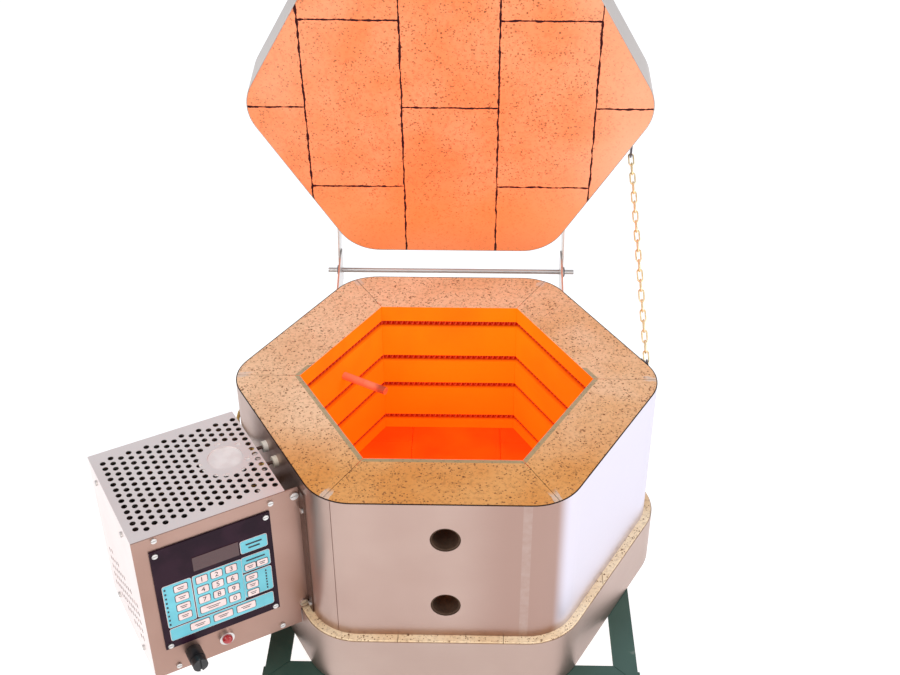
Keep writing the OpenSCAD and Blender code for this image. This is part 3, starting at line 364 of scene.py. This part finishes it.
# The peephole bores are painted dark brown: painted shade inside the holes
peephole_shade = (reach > CHAMBER_AP + PAINTED_GLOW_DEPTH) * below_rim
peephole_shade_brown = walls.mix(walls.noise(140), (0.040, 0.022, 0.014), (0.110, 0.068, 0.045))
surface = walls.mix(peephole_shade, surface, peephole_shade_brown)
# Deeper in the grooves the glow and the brick under it turn darker and redder: painted shade
groove_shade = reach.rise(CHAMBER_AP + 0.5 * MM, CHAMBER_AP + 8 * MM)
streak = walls.noise(9, 3).rise(0.3, 0.7)
glow = walls.mix(streak, (0.95, 0.13, 0.0), (1.0, 0.22, 0.0))
# Lower down the painted glow is redder and darker, as painted shade towards the chamber floor
low_glow = walls.mix(0.7, glow, (0.97, 0.085, 0.0))
glow = walls.mix(walls.z.rise(0.0, RIM_Z), low_glow, glow)
glow = walls.mix(groove_shade, glow, (0.50, 0.006, 0.001))
shaded_glow_brick = walls.mix(groove_shade, (0.50, 0.10, 0.004), (0.20, 0.01, 0.002))
surface = walls.mix(painted_glow_mask, surface, shaded_glow_brick)
walls.set(Base_Color=surface, Emission_Color=walls.mix(painted_glow_mask, (0, 0, 0), glow))
paint("lower_wall_bricks upper_wall_bricks", walls)
print("walls are painted")

# %% [markdown]
# ## Floor and lid
# The floor glows as painted light where it closes the chamber. The lid's face is salmon and glows
# faintly as painted light, and its cracked joints are nearly black.

# %% Floor and lid bricks
BRICK_W = 110 * MM
ground = Look("fired_floor_brick", rough=0.9, gleam=BRICK_GLEAM, emit=0.7)
reach = apothem(ground)
surface = brick_base(ground, (0.84, 0.60, 0.36), (0.94, 0.76, 0.52))
# Inside the chamber the floor emits a painted glow: painted light
painted_glow_mask = (reach < CHAMBER_AP + 1 * MM) * (ground.z > -2 * MM)
glow = ground.mix(ground.noise(12, 3).rise(0.35, 0.65), (0.93, 0.035, 0.0), (0.97, 0.075, 0.0))
ground.set(Base_Color=ground.mix(painted_glow_mask, surface, (0.45, 0.05, 0.004)),
           Emission_Color=ground.mix(painted_glow_mask, (0, 0, 0), glow))
paint("floor_bricks", ground)

LID_OPEN = radians(81.6)
ROD_R = 3 * MM
ROD_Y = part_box("hinge_rod")[0].y + ROD_R
ROD_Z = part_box("hinge_rod")[0].z + ROD_R
lid_out = Vector((0, -cos(LID_OPEN), sin(LID_OPEN)))


def joint_lines(look, across, along):
    """1 near the lid's brick joints, widened and broken up by noise."""
    wander = (look.noise(55, 4) - 0.5) * (3.2 * MM)
    half = look.noise(120, 3).rise(0.3, 0.75) * (1.3 * MM) + 0.5 * MM
    a, b = across + wander, along + wander
    columns = abs(abs(a) - BRICK_W / 2).least(abs(abs(a) - 1.5 * BRICK_W))
    middle = abs(b) + (abs(a) > BRICK_W / 2)
    sides = abs(abs(b) - BRICK_W) + (abs(a) < BRICK_W / 2) + (abs(a) > 1.5 * BRICK_W)
    outer = abs(b) + (abs(a) < 1.5 * BRICK_W)
    nearest = columns.least(middle).least(sides).least(outer)
    return look.math("LESS_THAN", nearest, half)


# The lid's faint emission outside its cracks is painted light
lid = Look("fired_lid_brick", rough=0.9, gleam=BRICK_GLEAM, emit=0.12)
# Distance from the lid's middle, which lies as far from the rod as the kiln's middle does
along = lid.along(lid_out) - (lid_out.dot(Vector((0, ROD_Y, ROD_Z))) + ROD_Y)
warm = lid.noise(5, 2)
edge = (lid.x * lid.x + along * along).rise(0.008, 0.05)
surface = brick_base(lid, (0.90, 0.235, 0.085), (0.92, 0.31, 0.15))
pale_share = edge * (warm.rise(0.3, 0.7) * 0.5 + lid.x.rise(0.1, 0.22) * 0.5)
surface = lid.mix(pale_share, surface, (0.86, 0.44, 0.28))
surface = lid.mix(along.rise(-0.08, -0.17) * 0.5, surface, (0.95, 0.25, 0.055))
cracks = joint_lines(lid, lid.x, along)
lid.set(Base_Color=lid.mix(cracks, surface, (0.055, 0.012, 0.014)),
        Emission_Color=lid.mix(cracks, (0.9, 0.2, 0.05), (0, 0, 0)))
paint("lid_bricks", lid)
print("floor and lid are painted")

# %% [markdown]
# ## Steel
# Brushed stainless steel has fine level streaks. Soft smudges change its roughness. The jacket's
# tone changes from facet to facet as painted reflection, as it does in the photograph.


# %% Steel looks
LEVEL_STREAKS = (1, 1, 40)
NO_STREAKS = (1, 1, 1)


def polished(look, lines, smudge, rough):
    """Gives a steel look its streaked roughness and its fine relief."""
    look.set(Roughness=lines * 0.16 + smudge * 0.12 + (rough - 0.12))
    return look.bump(lines, 0.04 * MM, 0.35)


def brushed(name, first, second, rough=0.28, streak=LEVEL_STREAKS):
    look = Look(name, rough, metal=1.0)
    lines = look.noise(30, 6, streak, 0.7)
    smudge = look.noise(7, 3)
    look.set(Base_Color=look.mix(smudge.rise(0.3, 0.7), first, second))
    return polished(look, lines, smudge, rough)


def jacket_steel(name, rough):
    """Beige in front, darker towards its right and nearly white on the right facet as painted reflection,
    with a welded strip and a dark top edge.
    """
    look = Look(name, rough, metal=1.0)
    lines = look.noise(30, 6, LEVEL_STREAKS, 0.7)
    smudge = look.noise(7, 3)
    ground = look.mix(smudge.rise(0.3, 0.7), (0.44, 0.305, 0.26), (0.50, 0.365, 0.315))
    # The front darkens towards the right, and the right facet is painted nearly white: painted reflection
    ground = look.mix(look.x.rise(0.0, 0.07) * 0.85, ground, (0.375, 0.24, 0.2))
    strip = look.x.between(80 * MM, 89 * MM) * (look.y < 0)
    ground = look.mix(strip * (look.noise(180, 2) * 0.5), ground, (0.52, 0.42, 0.38))
    right_facet_reflection = look.facing(330).rise(JACKET_AP - 9 * MM, JACKET_AP - 1 * MM)
    ground = look.mix(right_facet_reflection, ground, (0.68, 0.645, 0.73))
    ground = look.mix(look.z > RIM_Z - 0.9 * MM, ground, (0.035, 0.025, 0.022))
    look.set(Base_Color=ground)
    return polished(look, lines, smudge, rough)


paint("jacket", jacket_steel("jacket_steel", 0.34))
band = brushed("band_steel", (0.44, 0.32, 0.275), (0.50, 0.38, 0.33), rough=0.42)
paint("floor_band", band)
trim = brushed("lid_band_steel", (0.50, 0.44, 0.40), (0.58, 0.52, 0.48), rough=0.3)
paint("lid_band", trim)
panel = brushed("panel_steel", (0.37, 0.225, 0.18), (0.44, 0.285, 0.235), rough=0.38)
paint("box_front_panel box_chassis", panel)
bracket = brushed("bracket_steel", (0.12, 0.075, 0.058), (0.17, 0.11, 0.09), rough=0.4)
paint("mounting_angle", bracket)
cover = brushed("cover_steel", (0.86, 0.74, 0.71), (0.92, 0.84, 0.81), rough=0.34, streak=NO_STREAKS)
paint("box_cover", cover)
zinc = brushed("zinc_steel", (0.62, 0.60, 0.58), (0.72, 0.70, 0.68), rough=0.3, streak=NO_STREAKS)
paint("jacket_screws mounting_screws panel_screws cover_screws controller_screws lid_screws", zinc)
paint("hinge_rod hinge_bracket_left hinge_bracket_right lid_strap_left lid_strap_right", zinc)
paint("board_standoffs button_bezel floor_band_clamp", zinc)
dark = plain("dark_steel", (0.06, 0.055, 0.07), (0.12, 0.11, 0.13), metal=0.7, rough=0.45)
paint("rod_retainers lid_band_clamp lid_chain_bracket body_chain_anchor", dark)
pale = plain("pale_steel", (0.78, 0.72, 0.70), (0.86, 0.82, 0.80), metal=0.4, rough=0.5)
paint("vent_disc", pale)
core = plain("transformer_steel", (0.09, 0.09, 0.1), (0.3, 0.13, 0.05), scale=20, metal=0.6)
paint("transformer", core)
print("steel is painted")

# %% [markdown]
# ## Paint, ceramic and plastic
# Most of these finishes have two close tones. The stand's enamel is worn in spots. The tip of the
# thermocouple is painted darker as shade, and its sheath glows faintly as painted light.

# %% Other looks
PRINT_DEPTH = 0.02 * MM
green = Look("green_enamel", rough=0.42, coat=0.15)
worn = green.noise(45, 5).rise(0.66, 0.76)
tone = green.noise(9, 3)
surface = green.mix(tone, (0.018, 0.052, 0.038), (0.050, 0.115, 0.090))
green.set(Base_Color=green.mix(worn * 0.6, surface, (0.20, 0.23, 0.20)))
green.bump(green.noise(160, 3), 0.2 * MM, 0.3)
paint("stand_frame stand_legs", green)

rubber = plain("black_rubber", (0.012, 0.012, 0.012), (0.03, 0.03, 0.03), scale=90, rough=0.7)
paint("stand_feet lid_handle_grip", rubber)
black = plain("black_plastic", (0.008, 0.008, 0.009), (0.02, 0.02, 0.022), scale=120, rough=0.35)
paint("relays fuse_holder fuse_cap cord_gland", black)
powder = plain("black_powder_coat", (0.015, 0.015, 0.015), (0.03, 0.03, 0.03), scale=400, rough=0.55)
paint("lid_handle_bracket", powder)
porcelain = plain("porcelain", (0.80, 0.72, 0.58), (0.88, 0.84, 0.76), scale=40, rough=0.5)
paint("element_bushings thermocouple_block", porcelain)
cream = plain("cream_plastic", (0.80, 0.42, 0.07), (0.84, 0.52, 0.12), scale=50, rough=0.45)
paint("terminal_block", cream)
brass = plain("brass", (0.72, 0.42, 0.12), (0.78, 0.52, 0.2), metal=0.9, rough=0.32)
paint("element_connectors", brass)
wire = plain("element_wire", (0.10, 0.05, 0.04), (0.16, 0.10, 0.08), metal=0.7, rough=0.5)
paint("element_leads", wire)
braid = plain("braided_lead", (0.55, 0.36, 0.10), (0.42, 0.24, 0.06), scale=500, rough=0.8)
paint("thermocouple_lead", braid)
circuit = plain("circuit_board", (0.01, 0.09, 0.03), (0.02, 0.14, 0.05), scale=70, rough=0.4)
paint("controller_board", circuit)
glass = plain("fuse_glass", (0.75, 0.8, 0.8), (0.85, 0.88, 0.88), scale=30, rough=0.1, coat=0.5)
paint("fuse", glass)
plum = plain("plum_plate", (0.014, 0.0035, 0.010), (0.024, 0.007, 0.016), scale=35, rough=0.32,
             gleam=0.12, depth=PRINT_DEPTH)
paint("controller_plate", plum)
window = plain("red_window", (0.028, 0.001, 0.002), (0.045, 0.002, 0.003), scale=20, rough=0.12, coat=0.6)
paint("display_window", window)

# The sheath's faint red emission is painted light
probe = Look("probe_ceramic", rough=0.7, emit=0.25)
mottle = probe.noise(80, 3)
# The inner end of the sheath is painted darker: painted shade at its tip
tip_shade = abs(probe.facing(150)).rise(98 * MM, 88 * MM)
surface = probe.mix(mottle, (0.62, 0.17, 0.09), (0.74, 0.27, 0.15))
probe.set(Base_Color=probe.mix(tip_shade, surface, (0.30, 0.05, 0.025)),
          Emission_Color=probe.mix(mottle, (0.5, 0.06, 0.02), (0.6, 0.1, 0.03)))
paint("thermocouple_sheath", probe)
print("other finishes are painted")

# %% [markdown]
# ## Heating coils
# The CAD coils have few turns. These are wound close, as the real ones are, and follow the
# same line: a hexagon with rounded corners in the middle of each groove.

# %% Heating coils
COIL_AP = 145.2 * MM
COIL_R = 3.1 * MM
WIRE_R = 0.9 * MM
COIL_CORNER = 12 * MM
COIL_END = 14 * MM
COIL_STUB = 1.8 * MM
TURNS = 150
STEPS_PER_TURN = 8
SIDE = 2 * (COIL_AP - COIL_CORNER) * tan(radians(30))
ARC = COIL_CORNER * pi / 3


def outward(a):
    return Vector((cos(radians(a)), sin(radians(a)), 0))


def groove_line(s):
    """Place of the groove's middle line at the distance s, and its outward angle in degrees."""
    k = floor((s + SIDE / 2) / (SIDE + ARC))
    q = s + SIDE / 2 - k * (SIDE + ARC)
    a = BOX_FACET + 60 * k
    if q < SIDE:
        return outward(a) * COIL_AP + outward(a + 90) * (q - SIDE / 2), a
    turned = a + 60 * (q - SIDE) / ARC
    middle = (COIL_AP - COIL_CORNER) / cos(radians(30))
    return outward(a + 30) * middle + outward(turned) * COIL_CORNER, turned


def coil_points(height):
    """The helix, with a short stub outward at each end."""
    steps = TURNS * STEPS_PER_TURN
    length = 6 * (SIDE + ARC) - 2 * COIL_END
    points = []
    for i in range(steps + 1):
        middle, a = groove_line(COIL_END + length * i / steps)
        w = 2 * pi * TURNS * i / steps
        points.append(middle + outward(a) * (COIL_R * cos(w)) + Vector((0, 0, height + COIL_R * sin(w))))
    stub = outward(BOX_FACET) * COIL_STUB
    return [points[0] + stub] + points + [points[-1] + stub]


# The coils' emission is painted light: they glow red though they are no lamp
coil_glow_look = Look("glowing_wire", rough=0.6, metal=0.3, emit=0.7)
glow_tone = coil_glow_look.noise(25, 2)
coil_glow_look.set(Base_Color=coil_glow_look.mix(glow_tone, (0.20, 0.02, 0.01), (0.28, 0.04, 0.01)),
          Emission_Color=coil_glow_look.mix(glow_tone, (0.35, 0.012, 0.004), (0.6, 0.04, 0.006)))
for i in range(1, 5):
    low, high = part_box(f"heating_element_{i}")
    points = coil_points((low.z + high.z) / 2)
    made = curve_piece(f"coil_{i}", points, WIRE_R, coil_glow_look, "kiln", sides=1)
    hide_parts(f"heating_element_{i}")
print("coils wound:", 4 * TURNS, "turns")

# %% [markdown]
# ## Safety chain
# Each link is two half rings joined by straight sides. The chain runs straight from its eye on the opened
# lid to its anchor on the body.

# %% Safety chain
LINKS = 21
CHAIN_WIRE = 2 * MM
LINK_W = 7.6 * MM
PLAY = 0.5 * MM
JACKET_CORNER = 56 * MM
HINGE_FACET = 30


def on_hinge_facet(out, along, height):
    """A place on the hinge facet, with its height over the rim."""
    return outward(HINGE_FACET) * out + outward(HINGE_FACET + 90) * along + Vector((0, 0, RIM_Z + height))


LID_EYE = on_hinge_facet(JACKET_AP + 18 * MM, -37 * MM, 30 * MM)
facet_half = (JACKET_AP - JACKET_CORNER) * tan(radians(30))
BODY_EYE = on_hinge_facet(JACKET_AP + 4.7 * MM, 7.7 * MM - facet_half, -5 * MM)
hinge = Vector((0, ROD_Y, ROD_Z))
top_eye = hinge + Matrix.Rotation(-LID_OPEN, 3, "X") @ (LID_EYE - hinge)
line = BODY_EYE - top_eye
link_c = (line.length + (LINKS - 1) * (CHAIN_WIRE + PLAY)) / LINKS
pitch = link_c - CHAIN_WIRE - PLAY
bend = (LINK_W - CHAIN_WIRE) / 2


def edges_of(geometry):
    return [g for g in geometry if isinstance(g, bmesh.types.BMEdge)]


def half_turn(bm, geometry, height):
    """Spins a ring of edges half a turn round the bend's middle, and gives the ring's last edges."""
    made = bmesh.ops.spin(bm, geom=geometry, cent=(0, 0, height), axis=(0, 1, 0), angle=pi, steps=8)
    return edges_of(made["geom_last"])


def add_link(bm, place):
    """One closed link along Z: half ring, straight side, half ring, straight side."""
    made = bmesh.ops.create_circle(bm, segments=10, radius=CHAIN_WIRE / 2,
                                   matrix=Matrix.Translation((bend, 0, bend)))
    first_edges = list({e for v in made["verts"] for e in v.link_edges})
    before = set(bm.verts) - set(made["verts"])
    low_end = half_turn(bm, made["verts"] + first_edges, bend)
    side = bmesh.ops.extrude_edge_only(bm, edges=low_end)
    moved = [g for g in side["geom"] if isinstance(g, bmesh.types.BMVert)]
    bmesh.ops.translate(bm, verts=moved, vec=(0, 0, link_c - 2 * bend))
    high_end = half_turn(bm, moved + edges_of(side["geom"]), link_c - bend)
    bmesh.ops.bridge_loops(bm, edges=first_edges + high_end)
    bmesh.ops.transform(bm, matrix=place, verts=[v for v in bm.verts if v not in before])


def chain_place(i):
    """Where link i begins. Every second link is turned by a quarter."""
    start = Matrix.Translation(top_eye + line.normalized() * (pitch * i))
    turn = line.to_track_quat("Z", "Y").to_matrix().to_4x4()
    return start @ turn @ Matrix.Rotation(radians(90 * (i % 2)), 4, "Z")


gold = plain("chain_brass", (0.88, 0.66, 0.34), (0.92, 0.78, 0.52), scale=200, metal=0.9, rough=0.3)
bm = bmesh.new()
for i in range(LINKS):
    add_link(bm, chain_place(i))
chain = piece("chain_links", bm, gold, None, smooth=True)
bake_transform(chain)
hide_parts("safety_chain")
print("chain of", LINKS, "links, pitch", round(pitch / MM, 1), "mm")

# %% [markdown]
# ## Controller overlay
# The printed fields and keys get rounded corners. The fields have pink edges, and the keys have
# dark outlines. The digits are the only characters. The other keys carry plain bars in place of
# their words.

# %% Controller overlay
def box_points(node):
    """The node's vertices in the control box's own axes."""
    return [BOX_TURN.inverted() @ v.co for v in nodes[node].data.vertices]


def middle_of(values):
    return (min(values) + max(values)) / 2


plate = box_points("controller_plate")
PLATE_N = middle_of([v.x for v in plate])
PLATE_Z = middle_of([corner.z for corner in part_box("controller_plate")])
FACE = max(v.y for v in plate)
# Fields and keys are given by their middle on the plate, width and height, in millimetres
FIELDS = (
    (-42, 33, 28, 16),
    (-42, 9, 30, 20),
    (-42, -20, 30, 32),
    (-1, -10, 51, 57),
    (41, -10, 29, 57),
    (-0.5, -49, 111, 16),
)
KEY_ROW, KEY_COLUMN = 13.8, 15.5
KEY_TOP, KEY_W, KEY_H = 11.5, 11.5, 9
digit_keys = [(KEY_COLUMN * (1 - c), KEY_TOP - KEY_ROW * r, KEY_W, KEY_H, str(3 * r + c + 1))
              for r in range(3) for c in range(3)]
digit_keys.append((-KEY_COLUMN, KEY_TOP - KEY_ROW * 3, KEY_W, KEY_H, "0"))
bar_keys = [(KEY_COLUMN / 2, KEY_TOP - KEY_ROW * 3, KEY_COLUMN + KEY_W, KEY_H)]
bar_keys += [(37.5, 10.5 - 13 * r, 13.5, 8.5) for r in range(4)]
bar_keys += [(-35.5, -10 - 11 * r, 12, 8) for r in range(3)]
bar_keys += [(-42 + 6.5 * s, 5, 11.5, 8) for s in (-1, 1)]
bar_keys += [(25 * k - 1, -48, 20, 9) for k in (-1, 0, 1)]


def on_plate(x, z, height):
    return Vector((PLATE_N + x * MM, FACE + height, PLATE_Z + z * MM))


def tiles(name, spots, grow, height, thick, look, corner):
    """One piece of many thin tiles that lie on the plate."""
    bm = bmesh.new()
    for x, z, w, h in spots:
        size = ((w + grow) * MM, thick, (h + grow) * MM)
        add_tile(bm, on_plate(x, z, height + thick / 2), size, corner)
    return piece(name, bm, look, "kiln")


cyan = plain("cyan_print", (0.105, 0.44, 0.52), (0.14, 0.52, 0.60), scale=25, rough=0.3, coat=0.2,
             depth=PRINT_DEPTH)
pink = plain("pink_print", (0.74, 0.56, 0.53), (0.82, 0.66, 0.63), scale=60, rough=0.35, depth=PRINT_DEPTH)
ink = plain("dark_ink", (0.012, 0.006, 0.012), (0.03, 0.014, 0.022), scale=60, rough=0.4, depth=PRINT_DEPTH)
# Heights over the plate's face
FIELD_BASE = 0.01 * MM
FIELD_TOP = 0.50 * MM
KEY_BASE = 0.46 * MM
all_keys = [k[:4] for k in digit_keys + bar_keys]
tiles("field_edges", FIELDS, 1.0, FIELD_BASE, 0.25 * MM, pink, 2.4 * MM)
fields = tiles("fields", FIELDS, 0, 0.05 * MM, 0.45 * MM, cyan, 2 * MM)
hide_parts("keypad_panels")
tiles("key_outlines", all_keys, 1.5, KEY_BASE, 0.1 * MM, ink, 2 * MM)
keys = tiles("key_faces", all_keys, 0, KEY_BASE, 0.42 * MM, pink, 1.5 * MM)
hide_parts("keypad_keys")
marks = []
for x, z, w, h in bar_keys:
    marks += [(x, z + 1.1, w * 0.55, 0.9), (x, z - 1.1, w * 0.4, 0.9)]
marks += [(-42, 35.5, 17, 1.6), (-42, 30.5, 12, 1.6), (-42, 14, 20, 1.4)]
marks += [(53.5, -10 - 6 * k, 1.6, 2.2) for k in range(-4, 5)]
marks += [(-51, -20 - 4 * k, 1.4, 2) for k in range(-3, 4)]
tiles("key_bars", marks, 0, FIELD_TOP, 0.42 * MM, ink, 0.2 * MM)

toward = BOX_TURN @ Vector((0, 1, 0))
rightward = BOX_TURN @ Vector((-1, 0, 0))
FACING = Matrix((rightward, Vector((0, 0, 1)), toward)).transposed().to_4x4()
DIGIT_SIZE = 8.5 * MM
DIGIT_DROP = 0.3


def digit_mesh(text, spot):
    """One digit that stands on the plate and faces the front of the box."""
    data = bpy.data.curves.new("digit", "FONT")
    data.body = text
    data.size = DIGIT_SIZE
    data.extrude = 0.05 * MM
    data.align_x = "CENTER"
    data.align_y = "CENTER"
    holder = bpy.data.objects.new("digit", data)
    bpy.context.scene.collection.objects.link(holder)
    bpy.context.view_layer.update()
    mesh = bpy.data.meshes.new_from_object(holder)
    mesh.transform(Matrix.Translation(BOX_TURN @ spot) @ FACING)
    bpy.data.objects.remove(holder)
    return mesh


bm = bmesh.new()
for x, z, w, h, text in digit_keys:
    mesh = digit_mesh(text, on_plate(x, z - DIGIT_DROP, 0.9 * MM))
    bm.from_mesh(mesh)
    bpy.data.meshes.remove(mesh)
piece("digits", bm, ink, "kiln")
print("overlay has", len(all_keys), "keys")

# %% [markdown]
# ## Push button
# A domed red cap takes the place of the plain CAD cylinder.

# %% Push button
button = box_points("red_button")
button_n = middle_of([v.x for v in button])
button_z = middle_of([corner.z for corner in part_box("red_button")])
button_back = min(v.y for v in button)
button_front = max(v.y for v in button)
BUTTON_R = 5.5 * MM
DOME_H = 4 * MM
dome = [(0, button_back), (BUTTON_R, button_back), (BUTTON_R, button_front - DOME_H)]
for a in (15, 30, 45, 60, 75):
    dome.append((BUTTON_R * cos(radians(a)), button_front - DOME_H + DOME_H * sin(radians(a))))
dome.append((0, button_front))
bm = bmesh.new()
tip_forward = Matrix.Rotation(radians(-90), 4, "X")
add_lathe(bm, dome, BOX_TURN @ Matrix.Translation((button_n, 0, button_z)) @ tip_forward)
red = plain("red_cap", (0.30, 0.006, 0.008), (0.42, 0.012, 0.012), scale=40, rough=0.2, coat=0.5)
cap = piece("button_cap", bm, red, "button", smooth=True)
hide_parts("red_button")
print("button cap made")

# %% [markdown]
# ## Floor and light
# The floor and background are white. Large soft lights stand at the left and the right, a weaker
# one in front, and a small warm lamp in the chamber adds its glow to the lid.

# %% Floor and light
floor_look = Look("studio_floor", rough=0.8, emit=0.35)
shade = floor_look.noise(1.5, 2)
floor_look.set(Base_Color=floor_look.mix(shade, (0.90, 0.90, 0.90), (0.93, 0.93, 0.93)),
               Emission_Color=floor_look.mix(shade, (0.99, 0.99, 0.99), (1.0, 1.0, 1.0)))
bm = bmesh.new()
floor_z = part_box("stand_feet")[0].z - 0.2 * MM
bmesh.ops.create_grid(bm, x_segments=2, y_segments=2, size=6, matrix=Matrix.Translation((0, 0, floor_z)))
ground_plane = piece("studio_floor", bm, floor_look, None)

world = bpy.data.worlds.new("studio")
bpy.context.scene.world = world
world.use_nodes = True
tree = world.node_tree
lit = tree.nodes["Background"]
lit.inputs["Color"].default_value = (0.93, 0.95, 1.0, 1)
lit.inputs["Strength"].default_value = 0.75
seen = tree.nodes.new("ShaderNodeBackground")
seen.inputs["Color"].default_value = (1, 1, 1, 1)
path = tree.nodes.new("ShaderNodeLightPath")
choose = tree.nodes.new("ShaderNodeMixShader")
tree.links.new(path.outputs["Is Camera Ray"], choose.inputs[0])
tree.links.new(lit.outputs[0], choose.inputs[1])
tree.links.new(seen.outputs[0], choose.inputs[2])
tree.links.new(choose.outputs[0], tree.nodes["World Output"].inputs["Surface"])


def area(name, at, target, size, power, colour):
    data = bpy.data.lights.new(name, "AREA")
    data.shape = "RECTANGLE"
    data.size, data.size_y = size
    data.energy = power
    data.color = colour
    lamp = bpy.data.objects.new(name, data)
    bpy.context.scene.collection.objects.link(lamp)
    lamp.location = at
    lamp.rotation_euler = (Vector(target) - Vector(at)).to_track_quat("-Z", "Y").to_euler()


area("key_light", (-1.6, -1.8, 2.2), (0, 0, 0.15), (1.6, 1.6), 26, (1.0, 0.97, 0.93))
area("right_light", (2.4, -0.6, 1.2), (0, 0, 0.1), (1.4, 1.8), 30, (0.95, 0.95, 1.0))
area("front_light", (0.2, -2.6, 0.6), (0, 0, 0.1), (1.6, 1.0), 9, (1.0, 0.95, 0.9))
glow_data = bpy.data.lights.new("chamber_glow", "POINT")
glow_data.energy = 1.1
glow_data.color = (1.0, 0.32, 0.06)
glow_data.shadow_soft_size = 0.06
glow_lamp = bpy.data.objects.new("chamber_glow", glow_data)
bpy.context.scene.collection.objects.link(glow_lamp)
glow_lamp.location = (0, 0, 0.10)
print("light is set")
